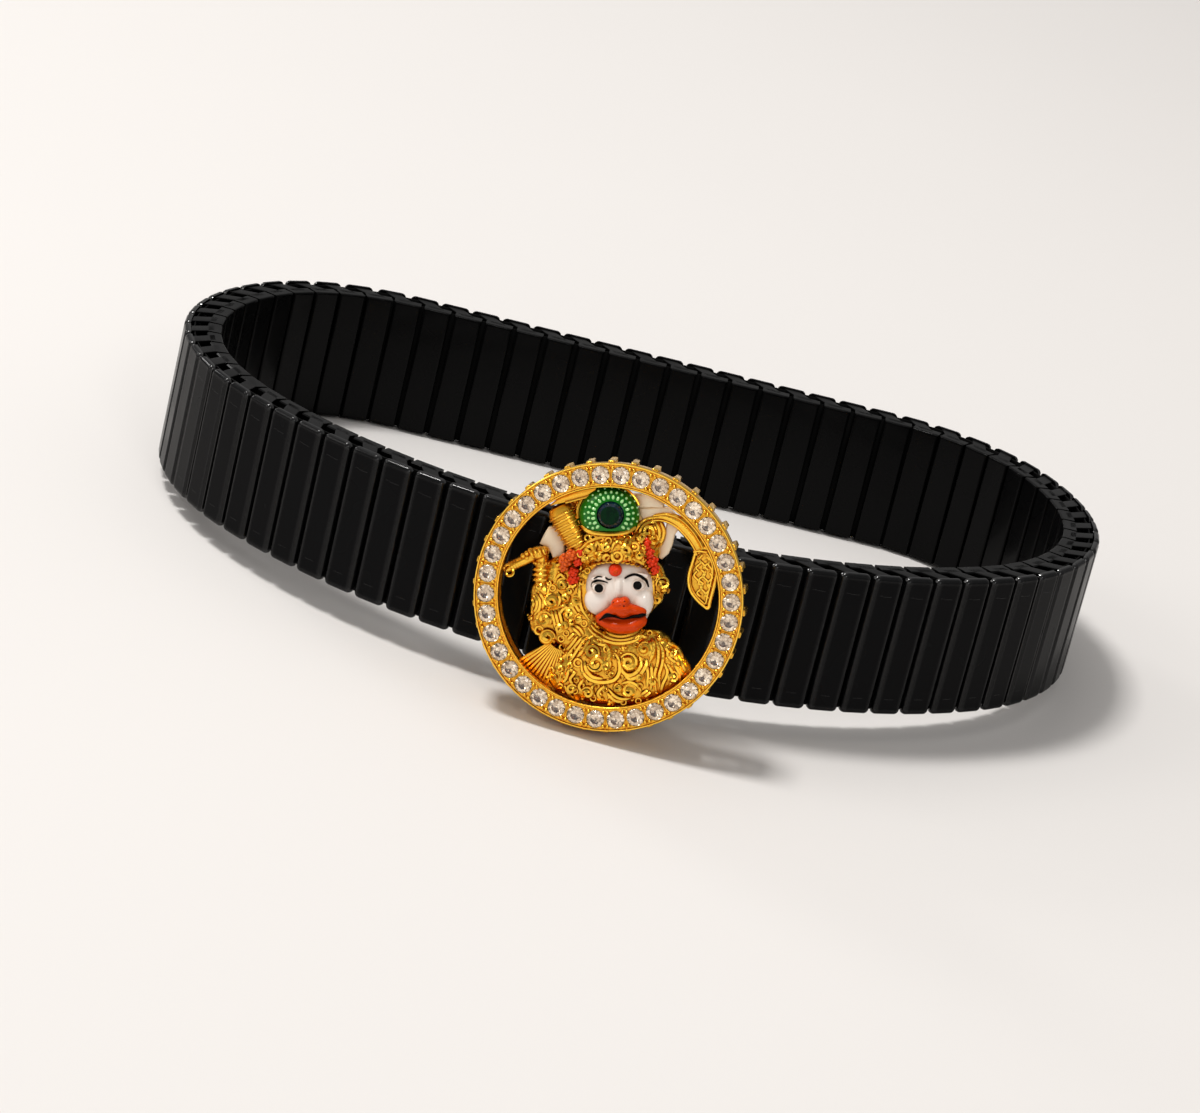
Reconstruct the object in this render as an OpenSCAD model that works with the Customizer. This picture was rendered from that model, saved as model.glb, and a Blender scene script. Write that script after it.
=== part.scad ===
// Medallion bracelet. A stretch band of two staggered rows of links closes into a loop.
// A round pierced medallion with a ring of stones is clipped over the front of the band.
// Lengths are millimetres and angles are degrees. +Z is up and the medallion faces -Y.
// The bracelet stands as it rests by itself, on the medallion's rim and the back of the band.

/* [Band] */
// Height of the band, along the arm
band_h = 10.2; // [9:0.1:12]
// Thickness of the band, from its outside to the arm
band_t = 2.8; // [2.8:0.1:3.6]
// Number of links in each row
link_count = 74; // [66:1:78]
// Clear gap between neighbouring links
link_gap = 0.4; // [0.3:0.05:0.6]
// Thickness of one link
link_t = 1.1; // [1.1:0.05:1.2]
// Thickness of the staple plates along both edges
plate_t = 0.25; // [0.2:0.05:0.3]
// Width of a staple plate
plate_w = 1.3; // [1:0.1:1.5]
// Clearance between pieces that move against each other
slip = 0.12; // [0.1:0.01:0.14]

/* [Loop] */
// Radius of the front of the loop
front_r = 38; // [36:0.1:42]
// Half of the angle that the front turns through
front_turn = 44; // [40:1:46]
// Radius of the sides
side_r = 22; // [20:0.1:24]
// Angle that each side turns through
side_turn = 78; // [74:1:80]
// Radius of the two back corners
corner_r = 12.8; // [12.8:0.1:15]

/* [Medallion] */
// Outer diameter of the ring of stones
medallion_d = 18; // [16:0.1:20]
// Depth of the ring, from its back to its front
medallion_t = 2.9; // [2.6:0.1:3.4]
// Lean of the medallion away from the band, top backwards
medallion_tilt = 9; // [6:1:10]
// Turn of the medallion to the left, seen from above
medallion_yaw = 5; // [0:1:6]
// Turn of the medallion in its own plane
medallion_turn = 13.8; // [0:0.1:15]
// Height of the medallion's middle above the band's middle
medallion_lift = 1.35; // [0.8:0.05:1.6]

/* [Stones] */
// Number of stones round the ring
stone_count = 38; // [38:1:38]
// Diameter of one stone
stone_d = 1.12; // [1:0.01:1.2]
// Diameter of the circle that the stones lie on
stone_circle_d = 16.4; // [16:0.1:16.6]
// Clearance between a stone or an enamel and its seat
seat_gap = 0.05; // [0.04:0.01:0.08]

/* [Rear clip] */
// Width of the clip over the band
clip_w = 4; // [3:0.1:5]
// Thickness of the clip
clip_t = 0.8; // [0.6:0.1:1]
// Clearance between the clip and the band
clip_gap = 0.15; // [0.13:0.01:0.2]

/* [Hidden] */
function two_digits(k) = str(k < 10 ? "0" : "", k);
function stone_name(k) = str("ring_stone_", two_digits(k));

// The loop: arcs that meet tangentially, from the middle of the front round one side
half_arcs = [[front_r, front_turn], [side_r, side_turn], [corner_r, 180 - front_turn - side_turn]];
function arc_len(arc) = arc[0] * arc[1] * PI / 180;
function arc_end(p, arc, turn) = [
    p[0] + arc[0] * (sin(p[2] + turn) - sin(p[2])),
    p[1] - arc[0] * (cos(p[2] + turn) - cos(p[2])),
    p[2] + turn];
// Point and heading [x, y, heading] after the length s, where the arcs end in a straight back
function walk(s, p, k = 0) =
    k == len(half_arcs) ? [p[0] - s, p[1], p[2]] :
    s <= arc_len(half_arcs[k]) ? arc_end(p, half_arcs[k], s / half_arcs[k][0] * 180 / PI) :
    walk(s - arc_len(half_arcs[k]), arc_end(p, half_arcs[k], half_arcs[k][1]), k + 1);
arcs_len = arc_len(half_arcs[0]) + arc_len(half_arcs[1]) + arc_len(half_arcs[2]);
arcs_end = walk(arcs_len, [0, 0, 0]);
loop_half = arcs_len + arcs_end[0];
loop_deep = arcs_end[1];
function mirrored(p) = [-p[0], p[1], -p[2]];
function station(s) =
    let (m = (s + 2 * loop_half) % (2 * loop_half))
    m <= loop_half ? walk(m, [0, 0, 0]) : mirrored(walk(2 * loop_half - m, [0, 0, 0]));

// One link
pitch = 2 * loop_half / link_count;
link_w = pitch - link_gap;
link_phase = -0.36 * pitch;
half_h = band_h / 2;
out_y = -band_t / 2;
shell_t = 0.45;
lip_t = 0.2;
edge_round = 0.3;
plate_top = half_h - 0.1;
plate_low = plate_top - plate_t;
tooth_low = plate_low - 0.35;
groove_in = out_y + link_t - lip_t;
groove_out = out_y + shell_t;
plate_slant = pitch / 2 / (band_t - link_t);

// Profile of an outer link across the band, [y, z], with a groove in each end for the staples
outer_top = [
    [out_y, half_h - 2 * edge_round], [out_y + edge_round / 3, half_h - edge_round / 2],
    [out_y + edge_round, half_h], [groove_out, half_h], [groove_out, tooth_low - slip],
    [groove_in, tooth_low - slip], [groove_in, plate_low - slip],
    [groove_in + lip_t, plate_low - slip]];
function both_ends(top) = concat(top, [for (k = [len(top) - 1:-1:0]) [top[k][0], -top[k][1]]]);
// Plan of an outer link, [x, y], crowned outwards
outer_half_plan = [
    [link_w / 2, out_y + link_t], [link_w / 2, out_y + 0.4], [link_w / 2 - 0.12, out_y + 0.18],
    [link_w / 4, out_y + 0.04]];
outer_plan = concat(
    outer_half_plan,
    [for (k = [len(outer_half_plan) - 1:-1:0]) [-outer_half_plan[k][0], outer_half_plan[k][1]]]);
inner_top = [
    [-out_y - link_t, plate_top], [-out_y - edge_round, plate_top],
    [-out_y, plate_top - edge_round]];

// The medallion's own frame: X to the right, Y up, Z forwards, with Z = 0 at the ring's back
medallion_x = 0.45;
band_front = -loop_deep / 2 + out_y;
clip_front = band_front - clip_gap - clip_t;
medallion_y = clip_front - 0.2;
rim_r = medallion_d / 2;

// The ring of stones
ring_sides = stone_count;
stone_step = 360 / stone_count;
stone_start = 90 + 4.2;
ring_in_r = 0.818 * rim_r;
rail_low = medallion_t - 0.9;
plate_z = medallion_t - 0.12;
wall_t = 0.14;
back_rail_t = 0.7;
post_w = 0.42;
post_proud = 0.14;
stone_r = stone_d / 2;
girdle_t = 0.06;
crown_t = 0.19;
pavilion_t = 0.48;
table_r = 0.6 * stone_r;
girdle_z = medallion_t - crown_t - 0.02;
bead_r = 0.15;
bead_out = 0.42;

// The resting pose: the loop leans back until a gallery post and the band's back edge touch the ground
post_r = rim_r + post_proud;
post_z = back_rail_t / 2;
rim_low = [
    medallion_y - post_r * sin(medallion_tilt) - post_z * cos(medallion_tilt),
    medallion_lift - post_r * cos(medallion_tilt) + post_z * sin(medallion_tilt)];
band_low = [loop_deep / 2 - out_y - edge_round, -half_h];
lean = atan2(band_low[1] - rim_low[1], band_low[0] - rim_low[0]);
rest_z = band_low[0] * sin(lean) - band_low[1] * cos(lean);
footprint_y = 2.89;

// The figure is drawn for a ring of this diameter and scaled to the real one
drawn_d = 18.2;
figure_k = medallion_d / drawn_d;
well_r = ring_in_r / figure_k + 0.15;

// Rounded masses of the bust, [x, y, z, half width, half height, half depth]
torso = [
    [-0.4, -4.6, 1.5, 2.9, 2.2, 1.2], [2.9, -4.1, 1.3, 1.7, 1.9, 1.0],
    [4.3, -5.4, 1.2, 1.3, 1.5, 0.9], [-2.6, -5.6, 1.2, 1.6, 1.6, 0.9],
    [0.4, -6.6, 1.3, 3.2, 1.2, 0.9]];
shoulder = [
    [-3.9, -1.9, 1.3, 1.0, 1.3, 0.9], [-2.2, -2.6, 1.4, 1.5, 1.5, 1.0], [-1.5, 0.2, 1.3, 1.6, 2.2, 0.9],
    [-3.5, 1.5, 1.2, 1.0, 1.2, 0.7]];
head = [[0.45, 0.3, 1.1, 2.75, 2.7, 0.9], [-1.6, 0.4, 1.2, 1.5, 2.3, 0.8], [2.9, 0.8, 1.2, 0.9, 1.6, 0.8]];
crown = [[-1.5, 2.9, 1.8, 1.1, 0.9, 0.9], [0.45, 3.1, 2.0, 1.7, 1.3, 1.1], [2.5, 3.0, 1.7, 0.9, 1.0, 0.8]];
plume = [[2.2, 4.0, 1.3, 0.8, 1.2, 0.8], [2.9, 4.3, 1.2, 0.8, 1.2, 0.7]];
halo_back = [[-0.1, 5.3, 1.0, 1.9, 1.9, 0.7], [0, 4.2, 1.1, 1.5, 0.9, 0.7]];
sleeve = [[-4.65, 0.2, 1.4, 0.75, 0.8, 0.8], [-4.5, -2.0, 1.4, 1.0, 1.0, 0.9]];

// Scrolls of raised wire, [x, y, z, radius, start angle, swept angle]
scroll_wire = 0.17;
scrolls = [
    [-0.54, -3.94, 2.65, 0.85, 60, 300], [-0.54, -3.94, 2.7, 0.4, 200, 300],
    [1.5, -3.94, 2.45, 0.62, 0, 330], [2.6, -3.2, 2.25, 0.5, 90, 330],
    [1.2, -5.7, 2.3, 0.7, 150, 290], [-1.2, -6.1, 2.25, 0.6, 0, 280],
    [-2.6, -2.2, 2.3, 0.65, 30, 290], [-4.7, 0.1, 2.2, 0.45, 40, 320],
    [-4.35, -0.9, 2.15, 0.45, 200, 320], [-4.6, -1.8, 2.25, 0.45, 60, 320],
    [-2.9, 0.1, 2.05, 0.5, 100, 320], [-2.5, 4.0, 1.9, 0.4, 0, 300],
    [-0.9, 3.4, 2.85, 0.4, 20, 320], [0.45, 3.55, 3.0, 0.42, 200, 320], [1.75, 3.4, 2.75, 0.4, 20, 320],
    [3.46, 0.86, 1.75, 0.42, 180, 330], [3.2, -0.2, 1.7, 0.36, 0, 330]];
// Folds of the cloth over the shoulder and the collar, [radius, start angle, swept angle, z]
fold_x = -0.6;
fold_y = -6.4;
folds = [[4.1, 0, 48, 2.15], [4.7, 0, 50, 2.1], [5.3, 0, 46, 1.9], [5.8, 2, 32, 1.7]];
collar_x = 0.55;
collar_y = 0.2;
collars = [[2.75, 208, 120, 2.25], [3.2, 205, 118, 2.35]];
// Beads of the brow band lie on an arc round this point
brow_x = 0.45;
brow_y = -1.25;
brow_r = 3.75;
brow_z = 2.3;
brow_fall = 1;
brow_beads = 11;
brow_span = 74;
brow_bead_r = 0.27;

// The mace, its handle, the fist and the arm, as axes between two points
mace_top = [-3.75, 6.15, 1.5];
mace_foot = [-2.2, 3.2, 1.6];
mace_r = 0.98;
mace_ribs = 7;
knob = [-6.85, 1.5, 1.3];
knob_r = 0.46;
grip_out = [-7.35, 1.4, 1.3];
grip_in = [-4.4, 2.95, 1.5];
grip_r = 0.37;
fist = [-4.95, 2.95, 1.55];
fist_r = 0.72;
arm_x = -4.65;
arm_low = 0.2;
arm_high = 2.7;
arm_z = 1.45;
arm_r = 0.5;
bangles = 4;
bangle_first = 0.86;
bangle_step = 0.39;
bangle_r = 0.6;
bangle_h = 0.2;

// The fan of pleats, the tail with its tuft, and the rosettes
fan_hub = [-2.5, -3.3, 1.5];
fan_r = 3.55;
fan_start = 192;
fan_ribs = 8;
fan_step = 8.2;
fan_rib_r = 0.24;
tail_points = [[2.6, 5.35, 1.3], [3.85, 5.45, 1.4], [4.85, 5.0, 1.4], [5.55, 4.2, 1.35], [5.98, 3.2, 1.3]];
tail_r = 0.34;
tuft_z = 1.0;
tuft_t = 0.75;
tuft_outline = [
    [5.98, 3.35], [5.62, 2.5], [5.3, 1.5], [5.5, 0.6], [6.62, -0.6], [7.0, 0.6], [7.3, 2.0], [6.55, 3.2]];
// Round bosses, [x, y, z, radius]
rosettes = [
    [-4.17, -2.55, 2.2, 0.5], [-3.3, -1.2, 2.1, 0.42], [3.6, -3.1, 2.1, 0.4], [0.4, -5.0, 2.65, 0.42],
    [-1.9, -4.9, 2.4, 0.4], [2.9, -5.2, 2.3, 0.4], [0.0, -6.8, 2.2, 0.4], [-3.1, 3.0, 1.9, 0.42]];

// Enamels and the cabochon
face_mass = [0.55, 0.08, 1.95, 2.33, 2.3, 1.45];
muzzle_masses = [[0.72, -0.55, 3.1, 0.62, 0.6, 0.75], [0.1, -1.1, 3.0, 1.0, 0.62, 0.7],
    [1.35, -1.1, 3.0, 1.0, 0.62, 0.7], [0.75, -1.6, 2.9, 0.95, 0.65, 0.65]];
dot_at = [0.26, 1.72, 2.92];
dot_r = 0.42;
halo_at = [-0.1, 5.35];
halo_r = 1.97;
halo_foot = 4.45;
halo_low = 1.9;
halo_t = 1.35;
cabochon_at = [0.12, 5.55];
cabochon_r = 0.9;
cabochon_low = 2.5;
cabochon_t = 1.0;
// Petals, [x, y, z, half width, half height, half depth]
flowers = [
    [[-2.75, 2.75, 2.35, 0.5, 0.55, 0.45], [-2.15, 2.95, 2.45, 0.5, 0.55, 0.45]],
    [[-2.5, 1.55, 2.2, 0.42, 0.45, 0.4], [-2.3, 1.25, 2.2, 0.35, 0.3, 0.35]],
    [[2.55, 3.75, 2.3, 0.22, 0.5, 0.35], [2.75, 3.25, 2.3, 0.25, 0.4, 0.35]],
    [[2.85, 2.55, 2.2, 0.42, 0.5, 0.4], [3.2, 2.25, 2.1, 0.28, 0.35, 0.35]]];
// Ribbons, each [height of its back, thickness, outline]
ribbons = [
    [0.9, 0.8, [[1.9, 6.95], [1.7, 5.75], [3.5, 5.85], [4.1, 6.15], [3.4, 6.5]]],
    [0.7, 0.8, [[4.0, 4.95], [4.55, 4.75], [4.45, 4.2], [3.95, 2.85], [3.6, 2.55], [3.35, 3.0], [3.7, 3.7]]],
    [0.7, 0.8, [[-4.75, 3.75], [-4.2, 4.35], [-3.3, 4.1], [-3.25, 2.3], [-3.95, 2.15]]]];

// Puts a piece of the band at the length s along the loop, X along the loop and Y inwards
module on_loop(s) {
    at = station(s);
    translate([at[0], at[1] - loop_deep / 2, 0]) rotate(at[2]) children();
}

// Puts a piece drawn in the medallion's own frame on the band
module on_medallion() {
    translate([medallion_x, medallion_y, medallion_lift])
        rotate(-medallion_yaw) rotate([90 - medallion_tilt, 0, 0]) rotate(medallion_turn) children();
}

// Sets the whole bracelet down on the ground
module resting() {
    translate([0, footprint_y, rest_z]) rotate([-lean, 0, 0]) children();
}

// Extrudes a [y, z] profile along X, centred
module across(profile, width) {
    rotate([90, 0, 90]) translate([0, 0, -width / 2]) linear_extrude(height = width) polygon(profile);
}

module outer_link() {
    intersection() {
        across(both_ends(outer_top), link_w);
        translate([0, 0, -half_h]) linear_extrude(height = band_h) polygon(outer_plan);
    }
}

// Plan of a stretch of a staple between two depths, leaning along the loop as it goes outwards
function staple_x(y) = (band_t / 2 - link_t / 2 - y) * plate_slant;
function staple_plan(y_in, y_out) = [
    for (corner = [[y_in, -1], [y_in, 1], [y_out, 1], [y_out, -1]])
        [staple_x(corner[0]) + corner[1] * plate_w / 2, corner[0]]];

module staple() {
    plate_in = -out_y - link_t / 2;
    plate_out = groove_out + slip;
    tooth_in = groove_in - slip;
    translate([0, 0, plate_low]) linear_extrude(height = plate_t) polygon(staple_plan(plate_in, plate_out));
    translate([0, 0, tooth_low]) linear_extrude(height = plate_top - tooth_low)
        polygon(staple_plan(tooth_in, plate_out));
}

module inner_link() {
    across(both_ends(inner_top), link_w);
    staple();
    mirror([0, 0, 1]) staple();
}

module outer_links() {
    color("#17181a") resting()
        for (k = [0:link_count - 1]) on_loop(k * pitch + link_phase) outer_link();
}

module inner_links() {
    color("#222326") resting()
        for (k = [0:link_count - 1]) on_loop((k - 0.5) * pitch + link_phase) inner_link();
}

// A closed ring with the [radius, z] profile
module ring_of(profile) {
    rotate_extrude($fn = ring_sides) polygon(profile);
}

module round_the_ring(offset) {
    for (k = [0:stone_count - 1]) rotate(stone_start - (k + offset) * stone_step) children();
}

module seat() {
    seat_r = stone_r + seat_gap;
    cone_t = pavilion_t * seat_r / stone_r;
    translate([stone_circle_d / 2, 0, girdle_z])
        rotate_extrude($fn = 8) polygon([[0, -cone_t], [seat_r, 0], [seat_r, 1], [0, 1]]);
}

module bead(at_r) {
    translate([at_r, 0, plate_z - 0.1]) cylinder(h = 0.3, r1 = bead_r, r2 = bead_r / 2, $fn = 4);
}

// The ring: a front rail with a seat for each stone, a back rail and a gallery of posts
module stone_ring() {
    difference() {
        union() {
            ring_of([[ring_in_r, rail_low], [rim_r, rail_low], [rim_r, medallion_t],
                [rim_r - wall_t, medallion_t], [rim_r - wall_t, plate_z], [ring_in_r, plate_z]]);
            ring_of([[ring_in_r + 0.1, 0], [rim_r, 0], [rim_r, back_rail_t], [ring_in_r + 0.1, back_rail_t]]);
            round_the_ring(0.5) translate([ring_in_r + 0.15, -post_w / 2, back_rail_t / 2])
                cube([rim_r + post_proud - ring_in_r - 0.15, post_w, rail_low]);
        }
        round_the_ring(0) seat();
    }
    round_the_ring(0.5) {
        bead(stone_circle_d / 2 - bead_out);
        bead(stone_circle_d / 2 + bead_out);
    }
}

// An ellipsoid from a row [x, y, z, half width, half height, half depth], grown by a margin
module mass(row, grow = 0) {
    translate([row[0], row[1], row[2]])
        scale([row[3] + grow, row[4] + grow, row[5] + grow]) sphere(r = 1, $fn = 10);
}

// One body hulled round several ellipsoids
module blended(rows, grow = 0) {
    hull() for (row = rows) mass(row, grow);
}

// A rod with round ends between two points
module rod(a, b, r, sides = 8) {
    hull() {
        translate(a) sphere(r = r, $fn = sides);
        translate(b) sphere(r = r, $fn = sides);
    }
}

// A bent wire, part of a circle
module wire_arc(r, start, sweep) {
    rotate(start) rotate_extrude(angle = sweep, $fn = 10) translate([r, 0]) circle(r = scroll_wire, $fn = 4);
}

// Turns Z to point from a to b, at a
module along(a, b) {
    d = b - a;
    translate(a) rotate([0, acos(d[2] / norm(d)), atan2(d[1], d[0])]) children();
}

module mace() {
    rib_h = norm(mace_foot - mace_top) / mace_ribs;
    along(mace_top, mace_foot) for (k = [0:mace_ribs - 1]) translate([0, 0, k * rib_h]) {
        cylinder(h = rib_h * 0.6, r = mace_r, $fn = 12);
        cylinder(h = rib_h * 1.01, r = mace_r * 0.86, $fn = 12);
    }
}

module arm() {
    rod([arm_x, arm_low, arm_z], [arm_x, arm_high, arm_z], arm_r);
    for (k = [0:bangles - 1]) translate([arm_x, bangle_first + k * bangle_step, arm_z])
        rotate([90, 0, 0]) cylinder(h = bangle_h, r = bangle_r, center = true, $fn = 12);
    rod(grip_out, grip_in, grip_r);
    translate(knob) sphere(r = knob_r, $fn = 8);
    translate(fist) sphere(r = fist_r, $fn = 10);
    blended(sleeve);
}

module fan() {
    for (k = [0:fan_ribs - 1]) {
        turn = fan_start + k * fan_step;
        rod(fan_hub, fan_hub + [fan_r * cos(turn), fan_r * sin(turn), -0.2], fan_rib_r, 6);
    }
    translate([fan_hub[0], fan_hub[1], 0.7]) rotate_extrude(angle = 62, start = fan_start - 2, $fn = 24)
        square([fan_r, 0.75]);
}

module tail() {
    for (k = [0:len(tail_points) - 2]) rod(tail_points[k], tail_points[k + 1], tail_r);
    translate([0, 0, tuft_z]) linear_extrude(height = tuft_t) polygon(tuft_outline);
    rod([6.05, 2.9, tuft_z + tuft_t], [6.55, 0, tuft_z + tuft_t], 0.14, 6);
}

module brow_band() {
    for (k = [0:brow_beads - 1]) {
        turn = 90 - brow_span / 2 + k * brow_span / (brow_beads - 1);
        fall = brow_fall * abs(cos(turn));
        translate([brow_x + brow_r * cos(turn), brow_y + brow_r * sin(turn), brow_z - fall])
            sphere(r = brow_bead_r, $fn = 6);
    }
}

// The cast figure, inside the ring
module figure() {
    intersection() {
        union() {
            blended(torso);
            blended(shoulder);
            blended(head);
            blended(crown);
            blended(plume);
            blended(halo_back);
            mace();
            arm();
            fan();
            tail();
            brow_band();
            for (row = scrolls) translate([row[0], row[1], row[2]]) wire_arc(row[3], row[4], row[5]);
            for (row = folds) translate([fold_x, fold_y, row[3]]) wire_arc(row[0], row[1], row[2]);
            for (row = collars) translate([collar_x, collar_y, row[3]]) wire_arc(row[0], row[1], row[2]);
            for (row = rosettes) translate([row[0], row[1], row[2]]) sphere(r = row[3], $fn = 7);
        }
        cylinder(h = 2 * medallion_t, r = well_r, $fn = ring_sides);
    }
}

module halo_body(grow = 0) {
    intersection() {
        translate([halo_at[0], halo_at[1], halo_low - grow])
            scale([halo_r + grow, halo_r + grow, halo_t + 2 * grow]) sphere(r = 1, $fn = 12);
        translate([halo_at[0] - 3, halo_foot - grow, halo_low - grow]) cube([6, 4, 3]);
    }
}

module cabochon_body(grow = 0) {
    intersection() {
        translate([cabochon_at[0], cabochon_at[1], cabochon_low - grow])
            scale([cabochon_r + grow, cabochon_r + grow, cabochon_t + 2 * grow]) sphere(r = 1, $fn = 12);
        translate([cabochon_at[0] - 2, cabochon_at[1] - 2, cabochon_low - grow]) cube([4, 4, 3]);
    }
}

module face_body(grow = 0) {
    intersection() {
        mass(face_mass, grow);
        translate([-4, -4, face_mass[2] - grow]) cube([9, 9, 3]);
    }
}

module muzzle_body(grow = 0) {
    hull() for (row = muzzle_masses) mass(row, grow);
}

module dot_body(grow = 0) {
    translate(dot_at) sphere(r = dot_r + grow, $fn = 8);
}

module flower_bodies(grow = 0) {
    for (petals = flowers) blended(petals, grow);
}

module ribbon_bodies(grow = 0) {
    for (row = ribbons) translate([0, 0, row[0] - grow])
        linear_extrude(height = row[1] + 2 * grow) offset(delta = grow) polygon(row[2]);
}

// The clip behind the medallion, bent over both edges of the band
module rear_clip() {
    inside = half_h + clip_gap;
    outside = inside + clip_t;
    back = -loop_deep / 2 - out_y + clip_gap;
    lip_h = 2.4;
    bridge_w = 3.2;
    bridge_deep = 1.7;
    difference() {
        translate([-clip_w / 2, clip_front, -outside])
            cube([clip_w, back + clip_t - clip_front, 2 * outside]);
        translate([-clip_w, clip_front + clip_t, -inside])
            cube([2 * clip_w, back - clip_front - clip_t, 2 * inside]);
        translate([-clip_w, back - clip_t, lip_h - inside])
            cube([2 * clip_w, 3 * clip_t, 2 * (inside - lip_h)]);
    }
    translate([-bridge_w / 2, clip_front - bridge_deep, -half_h])
        cube([bridge_w, bridge_deep + clip_t / 2, 0.85 * band_h]);
}

module medallion_casting() {
    color("#e2a93a") resting() {
        difference() {
            union() {
                on_medallion() {
                    stone_ring();
                    scale(figure_k) figure();
                }
                rear_clip();
            }
            on_medallion() scale(figure_k) {
                halo_body(seat_gap);
                face_body(seat_gap);
                muzzle_body(seat_gap);
                dot_body(seat_gap);
                flower_bodies(seat_gap);
                ribbon_bodies(seat_gap);
            }
        }
    }
}

module on_figure() {
    resting() on_medallion() scale(figure_k) children();
}

module halo_enamel() {
    color("#1f7a2b") on_figure() difference() {
        halo_body();
        cabochon_body(seat_gap);
    }
}

module halo_stone() {
    color("#062b28") on_figure() cabochon_body();
}

module face_enamel() {
    color("#f3ede6") on_figure() difference() {
        face_body();
        muzzle_body(seat_gap);
        dot_body(seat_gap);
    }
}

module muzzle_enamel() {
    color("#d9421a") on_figure() muzzle_body();
}

module forehead_dot() {
    color("#c9301c") on_figure() dot_body();
}

module side_flowers() {
    color("#c9301c") on_figure() flower_bodies();
}

module white_ribbons() {
    color("#f3ede6") on_figure() ribbon_bodies();
}

// A round stone with an eight-sided table, sixteen crown facets and a pavilion
module ring_stone(k) {
    color("#f4efe9") resting() on_medallion()
        rotate(stone_start - (k - 1) * stone_step) translate([stone_circle_d / 2, 0, girdle_z]) hull() {
            translate([0, 0, -pavilion_t]) cylinder(h = pavilion_t, r1 = 0, r2 = stone_r, $fn = 8);
            cylinder(h = girdle_t, r = stone_r, $fn = 8);
            rotate(22.5) cylinder(h = crown_t, r = table_r, $fn = 8);
        }
}

outer_links();
inner_links();
medallion_casting();
halo_enamel();
halo_stone();
face_enamel();
muzzle_enamel();
forehead_dot();
side_flowers();
white_ribbons();
for (k = [1:stone_count]) ring_stone(k);
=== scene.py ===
import math
from contextlib import contextmanager

import bpy
from mathutils import Matrix, Vector
from mathutils.bvhtree import BVHTree


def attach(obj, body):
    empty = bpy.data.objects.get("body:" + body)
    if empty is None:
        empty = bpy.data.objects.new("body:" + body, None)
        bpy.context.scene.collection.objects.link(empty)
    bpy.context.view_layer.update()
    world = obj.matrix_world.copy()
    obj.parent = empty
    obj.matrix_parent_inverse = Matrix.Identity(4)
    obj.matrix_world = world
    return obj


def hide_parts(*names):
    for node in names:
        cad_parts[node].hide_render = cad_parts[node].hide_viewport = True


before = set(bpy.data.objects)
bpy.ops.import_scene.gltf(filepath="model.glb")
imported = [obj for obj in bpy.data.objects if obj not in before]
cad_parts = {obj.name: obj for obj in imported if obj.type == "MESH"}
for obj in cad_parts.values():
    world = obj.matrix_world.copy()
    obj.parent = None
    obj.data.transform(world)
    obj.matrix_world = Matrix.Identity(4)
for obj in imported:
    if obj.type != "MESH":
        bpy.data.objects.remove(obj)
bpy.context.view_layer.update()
print("stage: CAD frame loaded")

# Medallion bracelet: a black stretch band of steel links with a gold medallion clipped on its front.
# Pieces are drawn in millimetres and then set down in the frame, which is in metres.
toMetres = 0.001
tiny = 0.0001  # places closer than this agree
rest = {
    "lean": 2.91214,  # degrees the loop leans back as it rests
    "height": 6.27121,  # of the loop's middle above the floor
    "forward": 2.89,
}
atRest = (Matrix.Scale(toMetres, 4) @ Matrix.Translation((0, rest["forward"], rest["height"]))
          @ Matrix.Rotation(math.radians(-rest["lean"]), 4, "X"))


def pickOnly(*objs):
    bpy.ops.object.select_all(action="DESELECT")
    for obj in objs:
        obj.select_set(True)
    bpy.context.view_layer.objects.active = objs[0]


@contextmanager
def editing(obj):  # edit mode with the whole piece selected
    pickOnly(obj)
    bpy.ops.object.mode_set(mode="EDIT")
    bpy.ops.mesh.select_all(action="SELECT")
    yield
    bpy.ops.object.mode_set(mode="OBJECT")


def joined(name, parts):
    bpy.context.view_layer.update()
    pickOnly(*parts)
    if len(parts) > 1:
        bpy.ops.object.join()
    obj = bpy.context.active_object
    obj.name = name
    obj.data.name = name
    return obj


def modified(obj, kind, **values):
    modifier = obj.modifiers.new(kind, kind)
    for key, value in values.items():
        setattr(modifier, key, value)
    pickOnly(obj)
    bpy.ops.object.modifier_apply(modifier=modifier.name)
    return obj


def copied(master, matrix):
    twin = master.copy()
    twin.data = master.data.copy()
    bpy.context.scene.collection.objects.link(twin)
    twin.matrix_world = matrix @ master.matrix_world
    return twin


def dropped(*masters):  # masters that have been copied, and cutters, are removed
    for master in masters:
        bpy.data.objects.remove(master, do_unlink=True)


def carved(obj, cutter):  # a cutter's shape is taken out of a piece
    modified(obj, "BOOLEAN", operation="DIFFERENCE", solver="EXACT", object=cutter)
    dropped(cutter)
    return obj


def applied(obj):
    pickOnly(obj)
    bpy.ops.object.transform_apply(location=True, rotation=True, scale=True)
    return obj


def smooth(obj, angle, weighted=False):
    pickOnly(obj)
    bpy.ops.object.shade_smooth_by_angle(angle=math.radians(angle))
    return modified(obj, "WEIGHTED_NORMAL", keep_sharp=True) if weighted else obj


def settled(obj, matrix, node):  # sets a finished piece down in the frame
    obj.matrix_world = matrix @ obj.matrix_world
    applied(obj)
    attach(obj, "root")
    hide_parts(node)
    print("piece:", obj.name, len(obj.data.polygons), "faces")


def polar(radius, degrees, middle=(0, 0), high=None):  # on a circle, or on an oval with high as half height
    a = math.radians(degrees)
    return middle[0] + radius * math.cos(a), middle[1] + (high or radius) * math.sin(a)


def ball(at, size, segments, rings, turn=(0, 0, 0)):
    bpy.ops.mesh.primitive_uv_sphere_add(segments=segments, ring_count=rings, radius=1, location=at,
                                         rotation=[math.radians(a) for a in turn])
    obj = bpy.context.active_object
    obj.scale = size if hasattr(size, "__len__") else (size, size, size)
    return applied(obj)


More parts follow.
